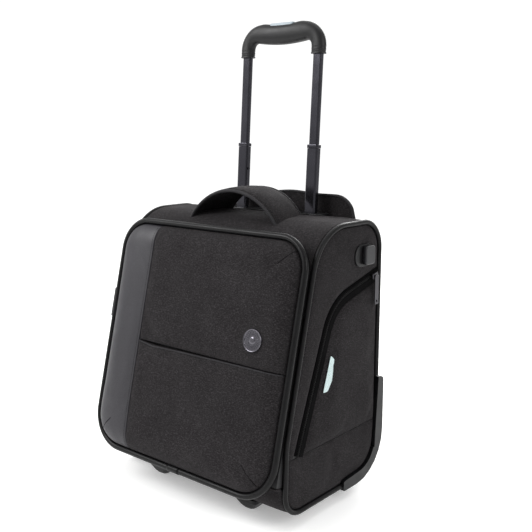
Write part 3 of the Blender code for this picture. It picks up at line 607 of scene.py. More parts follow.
def blocks(path, size, pitch, up, closed=False, lift=0.0, shift=0.0):
    """Small blocks set along a 3-D path, such as stitches or zip teeth: size is along, across, high."""
    spots = resample(path, pitch, closed)
    count = len(spots)
    along, wide, high = (part / 2 for part in size)
    faces = [(3, 2, 1, 0), (8, 9, 10, 11)]
    for row in (0, 4):
        for k in range(4):
            faces.append((row + k, row + (k + 1) % 4, row + 4 + (k + 1) % 4, row + 4 + k))
    parts = []
    for index in range(count):
        before = Vector(spots[index - 1] if closed or index > 0 else spots[index])
        after = Vector(spots[(index + 1) % count] if closed or index < count - 1 else spots[index])
        ahead = (after - before).normalized()
        here = Vector(spots[index])
        normal = Vector(up(here) if callable(up) else up).normalized()
        side = ahead.cross(normal).normalized()
        normal = side.cross(ahead).normalized()
        middle = here + normal * lift + side * (shift if index % 2 else -shift)
        ring = []
        for level, share in ((-1.0, 1.0), (0.35, 1.0), (1.0, 0.55)):
            for a, b in ((-1, -1), (1, -1), (1, 1), (-1, 1)):
                corner = middle + ahead * a * along * share + side * b * wide * share
                ring.append(corner + normal * level * high)
        parts.append((ring, faces))
    return merge(parts)


def surface(piece):
    """Search tree of a finished piece, in the frame's coordinates."""
    return BVHTree.FromObject(piece, bpy.context.evaluated_depsgraph_get())


DRAPE_REACH = 0.08


def drape(points, tree, lift):
    """Points in the door's plane carried onto a surface of the door, then lifted off it."""
    direction = INTO_DOOR.normalized()
    found = []
    for point in points:
        start = FRONT_MATRIX @ Vector(point)
        hit = tree.ray_cast(start - direction * DRAPE_REACH, direction, 2 * DRAPE_REACH)
        spot = hit[0] if hit[0] is not None else start
        found.append(spot - direction * lift)
    return found


# ---------------------------------------------------------------- camera, light and floor

CAMERA_PLACE = (0.8759, -0.9975, 0.5823)
CAMERA_AZIMUTH = math.radians(39.955)
CAMERA_ELEVATION = math.radians(10.341)
BRIGHT_SKY = (-0.75, 0.45, 0.50)
SKY_RANGE = (("From Min", -0.45), ("From Max", 0.40), ("To Min", 0.55), ("To Max", 1.08))
LAMPS = (
    ("key_light", (-1.5, -1.7, 1.9), 1.3, 62.0),
    ("right_light", (2.3, -0.1, 1.5), 1.0, 22.0),
    ("top_light", (0.0, 0.3, 2.6), 1.8, 12.0),
    ("rear_light", (-0.6, 2.2, 1.5), 1.2, 26.0),
)
FLOOR_HALF = 4.0


def place_item(name, data, location, back):
    """Camera or lamp that looks away from the direction back."""
    item = bpy.data.objects.new(name, data)
    item.location = location
    item.rotation_mode = "QUATERNION"
    item.rotation_quaternion = back.to_track_quat("Z", "Y")
    bpy.context.scene.collection.objects.link(item)
    return item


def build_stage():
    run = math.cos(CAMERA_ELEVATION)
    across, deep = math.sin(CAMERA_AZIMUTH) * run, -math.cos(CAMERA_AZIMUTH) * run
    back = Vector((across, deep, math.sin(CAMERA_ELEVATION)))
    lens = bpy.data.cameras.new("camera")
    lens.sensor_width = 36.0
    lens.lens = 54.08
    bpy.context.scene.camera = place_item("camera", lens, CASE_MATRIX @ Vector(CAMERA_PLACE), back)
    for name, place, size, power in LAMPS:
        lamp = bpy.data.lights.new(name, "AREA")
        lamp.size = size
        lamp.energy = power
        place_item(name, lamp, place, Vector(place) - Vector((0.0, 0.0, 0.3)))

    world = bpy.data.worlds.new("studio")
    bpy.context.scene.world = world
    world.use_nodes = True
    nodes, links = world.node_tree.nodes, world.node_tree.links
    nodes["Background"].inputs["Color"].default_value = (1.0, 1.0, 1.0, 1.0)
    direction = nodes.new("ShaderNodeTexCoord")
    toward = nodes.new("ShaderNodeVectorMath")
    toward.operation = "DOT_PRODUCT"
    toward.inputs[1].default_value = BRIGHT_SKY
    links.new(direction.outputs["Generated"], toward.inputs[0])
    level = nodes.new("ShaderNodeMapRange")
    for socket, value in SKY_RANGE:
        level.inputs[socket].default_value = value
    links.new(toward.outputs["Value"], level.inputs["Value"])
    links.new(level.outputs["Result"], nodes["Background"].inputs["Strength"])
    bpy.context.scene.view_settings.view_transform = "Standard"

    points = [(x, y, 0.0) for y in (-FLOOR_HALF, FLOOR_HALF) for x in (-FLOOR_HALF, FLOOR_HALF)]
    mesh = bpy.data.meshes.new("floor")
    mesh.from_pydata(points, [], [(0, 1, 3, 2)])
    floor = bpy.data.objects.new("floor", mesh)
    bpy.context.scene.collection.objects.link(floor)
    look = Graph("pale_floor", (0.86, 0.86, 0.855), 0.60)
    look.shade({
        "Base Color": look.ramp(look.noise(3.0), (0.3, (0.845, 0.845, 0.84)), (0.7, (0.87, 0.87, 0.865))),
        "Emission Color": (1.0, 1.0, 1.0, 1.0),
        "Emission Strength": 0.30,
    })
    floor.data.materials.append(look.material)


# ---------------------------------------------------------------- door


def door_point(a, b, height):
    return a, DOOR_SKIN_Y - height, b


DOOR_THIN = 0.0004
SEAM_GAP = 0.0003
DOOR_BEAD = 0.005
DOOR_ZIP_Y = -0.0042
STITCH = (0.0026, 0.0006, 0.0005)
STITCH_PITCH = 0.0036
OUTWARD = (0.0, -1.0, 0.0)


def rounded_place(a, b):
    """Moves a point of the door's bounding rectangle onto its rounded outline."""
    top = b > (FIELD_LOW + FIELD_HIGH) / 2
    radius = RADIUS_TOP if top else RADIUS_LOW
    over_a = abs(a) - (FIELD_HALF - radius)
    centre_b = FIELD_HIGH - radius if top else FIELD_LOW + radius
    over_b = (b - centre_b) if top else (centre_b - b)
    if over_a <= 0.0 or over_b <= 0.0:
        return a, b
    share = max(over_a, over_b) / math.hypot(over_a, over_b)
    new_a = math.copysign(FIELD_HALF - radius + over_a * share, a)
    new_b = centre_b + (over_b if top else -over_b) * share
    return new_a, new_b


def door_height(a, b):
    """Height of the padded face over the skin's back, from the place in the bounding rectangle."""
    inset = min(FIELD_HALF - abs(a), FIELD_HIGH - b, b - FIELD_LOW)
    share = 1.0 - min(max(inset, 0.0), DOOR_ROLL) / DOOR_ROLL
    return DOOR_THIN + (DOOR_CROWN - DOOR_THIN) * math.sqrt(max(0.0, 1.0 - share * share))


EDGE_LINES = (0.0, 0.0007, 0.0024, 0.0052, 0.0090, 0.0138, 0.0195, 0.0255, 0.0320)
SEAM_LINES = (0.0, 0.0006, 0.0016, 0.0032, 0.0055, 0.0090)


def grid_lines(low, high, low_lines, high_lines, step=0.0058):
    start, end = low + low_lines[-1], high - high_lines[-1]
    count = max(1, int(round((end - start) / step)))
    middle = [start + (end - start) * index / count for index in range(count + 1)]
    return [low + line for line in low_lines[:-1]] + middle + [high - line for line in high_lines[-2::-1]]


def grid_faces(columns, rows, keep=None):
    faces = []
    for i in range(columns - 1):
        for j in range(rows - 1):
            if keep is None or keep(i, j):
                faces.append([i * rows + j, (i + 1) * rows + j, (i + 1) * rows + j + 1, i * rows + j + 1])
    return faces


def slit_gap(a):
    """Opening of the slip pocket: widest a little right of the strip, closing towards the right edge."""
    share = min(1.0, max(0.0, (a - STRIP_EDGE) / 0.26))
    start = min(1.0, max(0.0, (a - STRIP_EDGE - 0.004) / 0.030))
    return 0.0006 + 0.0044 * start * (1.0 - share) ** 1.6


def strip_edge(b):
    """The strip's right edge: it widens a little towards the lower edge of the door."""
    share = min(1.0, max(0.0, (0.14 - b) / 0.14))
    return STRIP_EDGE + 0.010 * share ** 2


def build_pad(side, look):
    """One padded part of the door's face: side is strip, upper or lower."""
    a_range = (STRIP_EDGE + SEAM_GAP, FIELD_HALF, SEAM_LINES, EDGE_LINES)
    if side == "strip":
        a_range = (-FIELD_HALF, STRIP_EDGE - SEAM_GAP, EDGE_LINES, SEAM_LINES)
        b_range = (FIELD_LOW, FIELD_HIGH, EDGE_LINES, EDGE_LINES)
    elif side == "upper":
        b_range = (SLIT + SEAM_GAP, FIELD_HIGH, SEAM_LINES, EDGE_LINES)
    else:
        b_range = (FIELD_LOW, SLIT - SEAM_GAP, EDGE_LINES, SEAM_LINES)
    a_lines, b_lines = grid_lines(*a_range), grid_lines(*b_range)
    flat, front, inner = [], [], []
    for a in a_lines:
        for b in b_lines:
            height = door_height(a, b)
            shift = (strip_edge(b) - STRIP_EDGE) * max(0.0, 1.0 - abs(a - STRIP_EDGE) / 0.06)
            seam = abs(a - STRIP_EDGE)
            dip = 0.0016 * math.exp(-seam / 0.0022)
            depth = abs(b - SLIT)
            drop = 0.0
            if side == "upper":
                dip += (0.0012 + 0.5 * slit_gap(a)) * math.exp(-depth / 0.010)
            if side == "lower":
                drop = slit_gap(a) * math.exp(-depth / 0.022)
                dip += 0.0010 * math.exp(-depth / 0.0014) - 0.35 * slit_gap(a) * math.exp(-depth / 0.014)
            place = rounded_place(a, b)
            flat.append((place[0] + shift, place[1] - drop))
            front.append(max(DOOR_THIN, height - dip))
            inner.append(min(seam, FIELD_HALF - abs(a), FIELD_HIGH - b, b - FIELD_LOW))
    flat = np.array(flat)
    calm = 0.35 if side == "strip" else 1.0
    amount = calm * (0.00045 * noise_field(flat, 9.0, 3) + 0.00018 * noise_field(flat, 28.0, 5))
    share = np.clip(np.array(inner) / 0.02, 0.0, 1.0)
    front = np.array(front) + amount * share
    columns, rows = len(a_lines), len(b_lines)
    faces = grid_faces(columns, rows)
    name, back = "door_" + side + "_pad", np.zeros(len(flat))
    piece = shell(name, flat, faces, front, back, door_point, look, FRONT_MATRIX)
    border = np.ones((columns, rows), bool)
    border[2:-2, 2:-2] = False
    puff(piece, border.ravel(), 1.6, 0.0016, 0.0008 if side == "strip" else 0.004)
    finish_pad(piece, "door", look, 0.8, "door_strip" if side == "strip" else "door_" + side + "_skin")
    return piece


def door_ring(inset, y):
    """Line that follows the door's outline, moved in by inset, at a depth y."""
    return [(p.x, y, p.y) for p in closed_outline(DOOR_CORNERS, inset, 20)]


def stitch_line(path, tree):
    return blocks(drape(path, tree, 0.0001), STITCH, STITCH_PITCH, -INTO_DOOR)


def build_door():
    cloths = (("strip", "smooth_fabric"), ("upper", "fabric"), ("lower", "fabric"))
    pads = {side: build_pad(side, look) for side, look in cloths}
    bead = sweep(resample(door_ring(DOOR_BEAD, -0.0135), 0.005, True), circle(DOOR_BEAD, 14), OUTWARD, True)
    joint = [(x, -0.0135, DOOR_LOW + DOOR_BEAD) for x in np.linspace(-0.013, 0.013, 7)]
    shape = merge([bead, sweep(joint, circle(0.0056, 14), OUTWARD)])
    add_piece("door_bead", shape, "piping", "door", "door_piping", matrix=FRONT_MATRIX)
    section = [(-0.0035, -0.0003), (0.0035, -0.0003), (0.0035, 0.0003), (-0.0035, 0.0003)]
    shape = sweep(resample(door_ring(0.0095, -0.0119), 0.006, True), section, OUTWARD, True)
    add_piece("door_bead_tape", shape, "zip_tape", "door", matrix=FRONT_MATRIX)

    trees = {side: surface(pad) for side, pad in pads.items()}
    heights = np.linspace(FIELD_LOW + 0.006, FIELD_HIGH - 0.006, 160)
    seam = [(strip_edge(b) - 0.0045, 0.0, b) for b in heights]
    widths = np.linspace(STRIP_EDGE + 0.004, FIELD_HALF - 0.006, 140)
    lip = [(a, 0.0, SLIT - slit_gap(a) - 0.0050) for a in widths]
    shape = merge([stitch_line(seam, trees["strip"]), stitch_line(lip, trees["lower"])])
    add_piece("door_stitches", shape, "thread", "door")

    widths = np.linspace(STRIP_EDGE + 0.0015, FIELD_HALF - 0.0015, 90)
    edge = [(a, 0.0, SLIT - slit_gap(a) - 0.0012) for a in widths]
    shape = sweep(drape(edge, trees["lower"], 0.0), circle(0.0011, 8), -INTO_DOOR)
    add_piece("slip_pocket_binding", shape, "binding", "door")

    # Darts at the rounded corners: real folds, drawn as near-black lines of painted crease shade.
    darts = []
    for side, sign, top in (("upper", 1, True), ("lower", 1, False), ("strip", -1, False)):
        radius = RADIUS_TOP if top else RADIUS_LOW
        centre = Vector((sign * (FIELD_HALF - radius), FIELD_HIGH - radius if top else FIELD_LOW + radius))
        ray = Vector((sign, 1.0 if top else -1.0)).normalized()
        line = [centre + ray * radius * share for share in np.linspace(0.985, 0.28, 16)]
        path = drape([(p.x, 0.0, p.y) for p in line], trees[side], -0.0001)
        darts.append(sweep(path, circle(0.00055, 6), -INTO_DOOR))
    add_piece("door_darts", merge(darts), "gusset", "door")

    build_badge()
    section = [
        (-0.0008, -0.0037), (0.0078, -0.0037), (0.0078, 0.0056),
        (-0.0008, 0.0056), (-0.0014, 0.0018), (-0.0014, -0.0018),
    ]
    shape = sweep(resample(door_ring(0.0066, DOOR_ZIP_Y), 0.005, True), section, OUTWARD, True)
    add_piece("door_zip_tape", shape, "zip_tape", "case", "door_zip", matrix=FRONT_MATRIX)
    middle = Vector((0.0, DOOR_ZIP_Y, (DOOR_LOW + DOOR_HIGH) / 2))

    def from_middle(spot):
        return Vector((spot.x, 0.0, spot.z - middle.z))

    line = door_ring(0.0054, DOOR_ZIP_Y)
    teeth = blocks(line, (0.0009, 0.0042, 0.0013), 0.00165, from_middle, closed=True, shift=0.0003)
    add_piece("door_zip_coil", teeth, "coil", "case", matrix=FRONT_MATRIX)


def turn_profile(profile, sides):
    """Closed surface turned about the Y axis from (radius, y) points that start and end on it."""
    points = [(0.0, profile[0][1], 0.0)]
    for radius, y in profile[1:-1]:
        for k in range(sides):
            angle = math.tau * k / sides
            points.append((radius * math.cos(angle), y, radius * math.sin(angle)))
    points.append((0.0, profile[-1][1], 0.0))
    rows = len(profile) - 2
    faces = []
    for k in range(sides):
        follow = (k + 1) % sides
        faces.append((0, 1 + follow, 1 + k))
        for row in range(rows - 1):
            base = 1 + row * sides
            faces.append((base + k, base + follow, base + sides + follow, base + sides + k))
        base = 1 + (rows - 1) * sides
        faces.append((base + k, base + follow, len(points) - 1))
    return points, faces


def build_badge():
    """Round plated badge: raised rim, sunk field and a plain ring of small bars."""
    low, count = 0.0040, 24
    profile = [
        (0.0, -low), (0.0168, -low), (0.0175, -low + 0.0006), (0.0175, -0.0006), (0.0170, 0.0),
        (0.0158, 0.0), (0.0152, -0.0005), (0.0148, -0.0013), (0.0060, -0.0013), (0.0056, -0.0008),
        (0.0050, -0.0004), (0.0025, -0.0002), (0.0, -0.0001),
    ]
    parts = [turn_profile([(r, -y) for r, y in profile], 64)]
    bar_faces = [(0, 1, 2, 3), (7, 6, 5, 4)] + [(k, 4 + k, 4 + (k + 1) % 4, (k + 1) % 4) for k in range(4)]
    for k in range(count):
        angle = math.tau * k / count
        ahead = Vector((math.cos(angle), 0.0, math.sin(angle)))
        side = Vector((-math.sin(angle), 0.0, math.cos(angle)))
        ring = []
        for y, share in ((0.0014, 1.0), (0.0007, 0.6)):
            for a, b in ((0.0078, -0.0006), (0.0132, -0.0009), (0.0132, 0.0009), (0.0078, 0.0006)):
                ring.append(ahead * a + side * b * share + Vector((0.0, y, 0.0)))
        parts.append((ring, bar_faces))
    face = DOOR_SKIN_Y - DOOR_CROWN - 0.0038
    matrix = FRONT_MATRIX @ Matrix.Translation((BADGE[0], face, BADGE[1]))
    add_piece("badge_disc", merge(parts), "badge", "door", "badge", matrix=matrix, crisp=40.0)


# ---------------------------------------------------------------- sides


def zip_path(inset):
    """Line of the side pocket's zip, moved in by inset, from its lower front end to its rear end."""
    shift_y = inset * math.hypot(1.0, ZIP_LOWER_SLOPE) / ZIP_LOWER_SLOPE
    shift_z = inset * math.hypot(1.0, ZIP_UPPER_SLOPE)
    run = (shift_y - shift_z / ZIP_LOWER_SLOPE) / (1.0 - ZIP_UPPER_SLOPE / ZIP_LOWER_SLOPE)
    bend_y = ZIP_BEND[0] + run
    bend_z = ZIP_BEND[1] + ZIP_UPPER_SLOPE * run - shift_z
    low_z = SEAM_HEIGHT + 0.0003
    low_y = bend_y - (bend_z - low_z) / ZIP_LOWER_SLOPE
    rear_y = BACK - FIELD_INSET
    rear_z = bend_z + ZIP_UPPER_SLOPE * (rear_y - bend_y)
    return [(low_y, low_z, 0.0), (bend_y, bend_z, ZIP_BEND_RADIUS - inset), (rear_y, rear_z, 0.0)]


def field_rear_low():
    """Lower rear end of the side's lowest field, which follows the wheel guard's inner edge."""
    gap = 0.0006
    corner = (0.0860 - gap, 0.0190 + gap, 0.045)
    end = (-0.0005 - gap, 0.0125 + gap, 0.0)
    return [(BACK - FIELD_INSET, 0.0900, 0.0), corner, end, (end[0], FIELD_INSET, 0.0)]


def inset_front(height):
    slope = (CORNER_KNEE[0] - CORNER_BOTTOM_FRONT[0]) / CORNER_KNEE[1]
    return CORNER_BOTTOM_FRONT[0] + slope * height + FIELD_INSET * math.hypot(1.0, slope), height


def inset_corner(corner):
    index = CASE_CORNERS.index(corner)
    before = CASE_CORNERS[index - 1][:2]
    after = CASE_CORNERS[(index + 1) % len(CASE_CORNERS)][:2]
    point = arc_corner(before, corner[:2], 0.0, after, FIELD_INSET, 1)[0]
    return point.x, point.y, corner[2] - FIELD_INSET


def side_panel(name, outline, sign, rise, roll, seed, stood_for, soft, fill):
    """Puffed cloth panel on one side; rise is its height at the middle."""
    flat, faces = patch(outline, 0.0070)
    inset = edge_distance(flat, outline)
    swell = rise * (1.0 - np.exp(-inset / roll))
    swell += np.clip(inset / 0.03, 0.0, 1.0) * 0.00035 * noise_field(flat, 8.0, seed)
    front = 0.0006 + swell

    def place(a, b, h):
        return sign * (SIDE_BASE + h), a, b

    # The side panels wear the heather darkened to 95 % as painted shade.
    piece = shell(name, flat, faces, front, np.zeros(len(flat)), place, "shaded_side_fabric", CASE_MATRIX)
    puff(piece, inset < 0.0035, soft, 0.0022, 0.010 if soft > 1.0 else 0.004)
    finish_pad(piece, "case", "shaded_side_fabric", fill, stood_for)


def side_line(sign, x, outline):
    return [(sign * x, p.x, p.y) for p in outline]


def build_side(side, sign):
    front_low = inset_corner(CORNER_BOTTOM_FRONT)
    knee = inset_corner(CORNER_KNEE)
    front_high = inset_corner(CORNER_TOP_FRONT)
    rear_high = inset_corner(CORNER_TOP_REAR)
    start, bend, end = zip_path(0.0)
    seam_front = (*inset_front(start[1]), 0.0)
    upper = closed_outline([(start[0], start[1], 0.0), seam_front, knee, front_high, rear_high, end, bend])
    pocket = open_outline(zip_path(ZIP_BAND + 0.0005)) + [Vector((BACK - FIELD_INSET, start[1]))]
    seam = SEAM_HEIGHT - 0.0003
    seam_line = [(*inset_front(seam), 0.0), (BACK - FIELD_INSET, seam, 0.0)]
    lower = closed_outline([front_low, *seam_line, *field_rear_low()])
    seed = 11 if sign > 0 else 31
    panels = (
        ("side_upper_panel_", upper, 0.0026, 0.005, seed, "upper_side_skin_", 0.9, 0.5),
        ("side_pocket_panel_", pocket, 0.0046, 0.006, seed + 1, "pocket_skin_", 1.4, 0.4),
        ("side_lower_panel_", lower, 0.0026, 0.004, seed + 2, "lower_side_skin_", 0.9, 0.5),
    )
    for name, outline, rise, roll, panel_seed, skin, soft, fill in panels:
        side_panel(name + side, outline, sign, rise, roll, panel_seed, skin + side, soft, fill)

    outward = Vector((sign, 0.0, 0.0))
    # The near-black band is the zip tape widened over the pocket's shaded edge: real tape plus painted
    # shade.
    middle = resample(side_line(sign, ZIP_X, open_outline(zip_path(ZIP_BAND / 2))), 0.004)
    half = ZIP_BAND / 2 - 0.0005
    section = [(-half, -0.0010), (half, -0.0010), (half, 0.0006), (0.0, 0.0002), (-half, 0.0006)]
    tape = sweep(middle, section, outward)
    add_piece("side_zip_tape_and_shade_" + side, tape, "gusset", "case", "pocket_zip_tape_" + side, matrix=CASE_MATRIX)
    teeth_line = resample(side_line(sign, ZIP_X, open_outline(zip_path(0.0068))), 0.004)
    teeth = blocks(teeth_line, (0.0010, 0.0052, 0.0013), 0.0018, outward, lift=0.0010, shift=0.0004)
    add_piece("side_zip_coil_" + side, teeth, "coil", "case", matrix=CASE_MATRIX)

    run = [(-0.0015, 0.0, 0.0), *CASE_CORNERS[:4], (BACK, 0.1655, 0.0)]
    line = resample(side_line(sign, PIPING_X, open_outline(run, PIPING_RADIUS, 20)), 0.005)
    bead = sweep(line, circle(PIPING_RADIUS, 14), outward)
    add_piece("case_piping_" + side, bead, "piping", "case", "side_piping_" + side, matrix=CASE_MATRIX)
    line = resample(side_line(sign, 0.1965, open_outline(run, 0.0085, 20)), 0.006)
    section = [(-0.0040, -0.0002), (0.0040, -0.0002), (0.0040, 0.0002), (-0.0040, 0.0002)]
    tape = sweep(line, section, outward)
    add_piece("case_piping_tape_" + side, tape, "zip_tape", "case", matrix=CASE_MATRIX)


def build_tag():
    """Small cloth tag on the right side."""
    outline = closed_outline([
        (-0.0600, 0.1770, 0.001), (-0.0410, 0.2320, 0.001), (-0.0320, 0.2240, 0.001),
        (-0.0370, 0.1920, 0.004), (-0.0480, 0.1770, 0.003),
    ], steps=4)
    flat, faces = patch(outline, 0.0030)
    inset = edge_distance(flat, outline)
    front = 0.0009 + 0.0006 * noise_field(flat, 20.0, 9) * np.clip(inset / 0.004, 0.0, 1.0)

    def place(a, b, h):
        return 0.2023 + h, a, b

    piece = shell("side_tag_cloth", flat, faces, front, np.zeros(len(flat)), place, "tag_cloth", CASE_MATRIX)
    subdivide(piece)
    settle(piece, "case", "tag_cloth", "side_tag")


# ---------------------------------------------------------------- covers

COVER_STEP = 0.0060
COVER_DIP = 0.0012
COVER_RISE = 0.0009


def cover(name, corners, x_lines, stood_for, keep, seed):
    """Cloth wrap along a side outline: outer face just inside the outline, inner face 4 mm below."""
    path = resample(open_outline(corners, 0.0, 20), COVER_STEP)
    ahead = np.gradient(path, axis=0)
    ahead /= np.linalg.norm(ahead, axis=1)[:, None]
    inward = np.stack([ahead[:, 1], -ahead[:, 0]], axis=1)
    rows = len(path)
    flat = np.array([(i, j) for i in range(len(x_lines)) for j in range(rows)], float)
    x_values = np.array([x_lines[int(i)] for i, j in flat])
    inset = np.minimum(HALF_PANEL - np.abs(x_values), 0.05)
    reach = np.minimum(flat[:, 1], rows - 1 - flat[:, 1]) * COVER_STEP
    share = 1.0 - np.exp(-np.minimum(inset, reach + 0.001) / 0.004)
    spots = np.stack([x_values, flat[:, 1] * COVER_STEP], axis=1)
    swell = COVER_DIP + COVER_RISE * np.clip(inset / 0.04, 0, 1) + 0.0004 * noise_field(spots, 8.0, seed)
    height = -0.0010 - COVER_DIP + share * swell

    def place(a, b, h):
        index = int(round(b))
        spot = path[index] - inward[index] * h
        return x_lines[int(round(a))], spot[0], spot[1]

    def kept(i, j):
        x = (x_lines[i] + x_lines[i + 1]) / 2
        y, z = (path[j] + path[j + 1]) / 2
        return keep(x, y, z)

    faces = grid_faces(len(x_lines), rows, kept)
    used = sorted({index for face in faces for index in face})
    renumber = {old: new for new, old in enumerate(used)}
    faces = [[renumber[index] for index in face] for face in faces]
    back = np.full(len(used), -0.0050)
    piece = shell(name, flat[used], faces, height[used], back, place, "fabric", CASE_MATRIX)
    finish_pad(piece, "case", "fabric", 0.3, stood_for)


def split_at(lines, notch):
    """Grid lines with two of them moved to both edges of a notch."""
    return sorted(set([line for line in lines if abs(abs(line) - notch) > 0.003] + [-notch, notch]))


def build_covers():
    edge = (0.0, 0.0006, 0.0020, 0.0045, 0.0080)
    lines = grid_lines(-HALF_PANEL, HALF_PANEL, edge, edge, 0.0070)
    length = math.hypot(1.0, FRONT_SLOPE)

    def everywhere(x, y, z):
        return True

    def outside_well(x, y, z):
        return not (abs(x) < WELL_NOTCH and 0.0570 < y < 0.0890 and z > 0.35)

    def clear_of_guards(x, y, z):
        return not (abs(x) > GUARD_NOTCH and y > -0.001)

    high = 0.3755 / length
    path = [(FRONT + FRONT_SLOPE * high, high, 0.0), CORNER_TOP_FRONT, (0.0487, BODY_HEIGHT, 0.0)]
    cover("top_cover", path, lines, "top_panel", everywhere, 41)

    path = [(0.0490, BODY_HEIGHT, 0.0), CORNER_TOP_REAR, (BACK, 0.1665, 0.0)]
    cover("back_cover", path, split_at(lines, WELL_NOTCH), "back_panel", outside_well, 42)

    sill = 0.0530 / length
    sill_y = FRONT + FRONT_SLOPE * sill
    sill_back = (sill_y + 0.013 / length, sill - 0.013 * FRONT_SLOPE / length, 0.0)
    sill_front = (sill_y + 0.0010, sill - 0.00025, 0.0)
    path = [(BACK, 0.1660, 0.0), CORNER_BOTTOM_REAR, CORNER_BOTTOM_FRONT, sill_back, sill_front]
    cover("bottom_cover", path, split_at(lines, GUARD_NOTCH), "bottom_panel", clear_of_guards, 43)


def top_height(y):
    """Height of the top cover over a place y, in case coordinates."""
    centre_y, centre_z, radius = -0.00255, BODY_HEIGHT - 0.085, 0.084
    if y >= centre_y:
        return centre_z + radius
    return centre_z + math.sqrt(max(0.0, radius ** 2 - (y - centre_y) ** 2))


def handle_arc(y):
    """Radius, centre height and end angle of the carry handle's arc at a place across it."""
    share = (y - HANDLE_ACROSS[0]) / (HANDLE_ACROSS[1] - HANDLE_ACROSS[0])
    half = 0.0990 - 0.0160 * share ** 1.5
    foot = top_height(y) - 0.0015
    rise = HANDLE_HIGH - foot
    radius = (half ** 2 + rise ** 2) / (2 * rise)
    return radius, HANDLE_HIGH - radius, math.asin(half / radius)


def handle_place(share, y, height):
    radius, centre, reach = handle_arc(y)
    angle = share * reach
    return (radius + height) * math.sin(angle), y, centre + (radius + height) * math.cos(angle)


def build_carry_handle():
    """Padded bridge with bound edges, sewn down at its ends."""
    count, rows = 61, 19
    flat, front, back = [], [], []
    across = np.linspace(*HANDLE_ACROSS, rows)
    for i in range(count):
        share = 2.0 * i / (count - 1) - 1.0
        for j, y in enumerate(across):
            flat.append((share, y))
            rim = min(j, rows - 1 - j) / (rows - 1) * 0.083
            ease = 1.0 - math.exp(-rim / 0.012)
            front.append(-0.0042 + 0.0046 * ease)
            back.append(-0.0066 - 0.0004 * ease)
    flat = np.array(flat)
    front = np.array(front) + 0.0003 * noise_field(flat * (0.12, 1.0), 14.0, 51)
    faces = grid_faces(count, rows)
    piece = shell("carry_handle_pad", flat, faces, front, back, handle_place, "fabric", CASE_MATRIX)
    finish_pad(piece, "case", "fabric", 0.5, "carry_handle")
    parts = []
    for y in HANDLE_ACROSS:
        line = [handle_place(share, y, -0.0052) for share in np.linspace(-1.0, 1.0, 80)]
        parts.append(sweep(line, circle(0.0026, 12, 0.80), (0.0, 1.0, 0.0)))
    add_piece("carry_handle_binding", merge(parts), "binding", "case", matrix=CASE_MATRIX)
    stitches = []
    for y in (HANDLE_ACROSS[0] + 0.0060, HANDLE_ACROSS[1] - 0.0060):
        centre = handle_arc(y)[1]
        line = [handle_place(share, y, -0.0019) for share in np.linspace(-0.97, 0.97, 120)]

        def from_centre(spot, z=centre):
            return Vector((spot.x, 0.0, spot.z - z))

        stitches.append(blocks(line, (0.0028, 0.0006, 0.0006), 0.0038, from_centre))
    add_piece("carry_handle_stitches", merge(stitches), "thread", "case", matrix=CASE_MATRIX)


FLAP_HALF = 0.151
FLAP_LOW = 0.4035
FLAP_ROUND = 0.036
FLAP_BEND = [CASE_MATRIX @ Vector((0.0, 0.0985, z)) for z in (FLAP_LOW, 0.4200)]


def flap_top(x):
    """Height of the handle flap's wavy upper edge."""
    bend = 0.0014 * math.sin(x * 34.0 + 0.8) + 0.0008 * math.sin(x * 71.0)
    return 0.4600 + bend - 0.0030 * max(0.0, -x / 0.149)


def build_flap():
    """Cloth flap behind the tubes, sewn along its lower edge, with a bound rim."""
    columns, rows = 61, 13
    flat, middle = [], []
    for i in range(columns):
        x = -FLAP_HALF + 2 * FLAP_HALF * i / (columns - 1)
        over = max(0.0, abs(x) - (FLAP_HALF - FLAP_ROUND))
        top = flap_top(x) - (FLAP_ROUND - math.sqrt(max(0.0, FLAP_ROUND ** 2 - over ** 2)))
        for j in range(rows):
            share = j / (rows - 1)
            flat.append((x, FLAP_LOW + (top - FLAP_LOW) * share))
            middle.append(0.0970 + 0.0022 * share * math.sin(x * 26.0 + 0.4) - 0.0015 * share ** 2)
    flat = np.array(flat)
    middle = np.array(middle) + 0.0003 * noise_field(flat, 16.0, 61)

    def place(a, b, h):
        return a, h, b

    faces = grid_faces(columns, rows)
    piece = shell("rear_flap", flat, faces, middle - 0.0011, middle + 0.0011, place, "fabric", CASE_MATRIX)
    subdivide(piece)
    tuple(FLAP_BEND[0])
    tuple(FLAP_BEND[1])
    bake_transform(piece)
    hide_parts("handle_flap")
    heights, depths = flat[:, 1].reshape(columns, rows), middle.reshape(columns, rows)
    x_values = flat[::rows, 0]
    rim = [(x_values[i], depths[i, -1], heights[i, -1] - 0.0006) for i in range(columns)]
    left = [(-FLAP_HALF + 0.0004, depths[0, j], heights[0, j]) for j in range(rows - 1)]
    right = [(FLAP_HALF - 0.0004, depths[-1, j], heights[-1, j]) for j in range(rows - 2, -1, -1)]
    shape = sweep(resample(left + rim + right, 0.004), circle(0.0024, 12), (0.0, 1.0, 0.0))
    piece = fix_normals(make_piece("rear_flap_binding", *shape, "binding", CASE_MATRIX))
    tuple(FLAP_BEND[0])
    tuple(FLAP_BEND[1])
    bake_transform(piece)


# ---------------------------------------------------------------- hard parts

WHEEL_X = 0.1562
WHEEL_HALF = 0.01175
SPOKES = 8


def turned_ring(profile, sides=72):
    """Ring turned about the X axis from closed (x, radius) points."""
    points = []
    for k in range(sides):
        angle = math.tau * k / sides
        points += [(x, r * math.cos(angle), r * math.sin(angle)) for x, r in profile]
    return points, ring_faces(sides, len(profile), closed=True)


def mirrored(profile):
    """Closed (x, radius) profile from its left half, in order from the left end."""
    return profile + [(-x, radius) for x, radius in profile[::-1]]


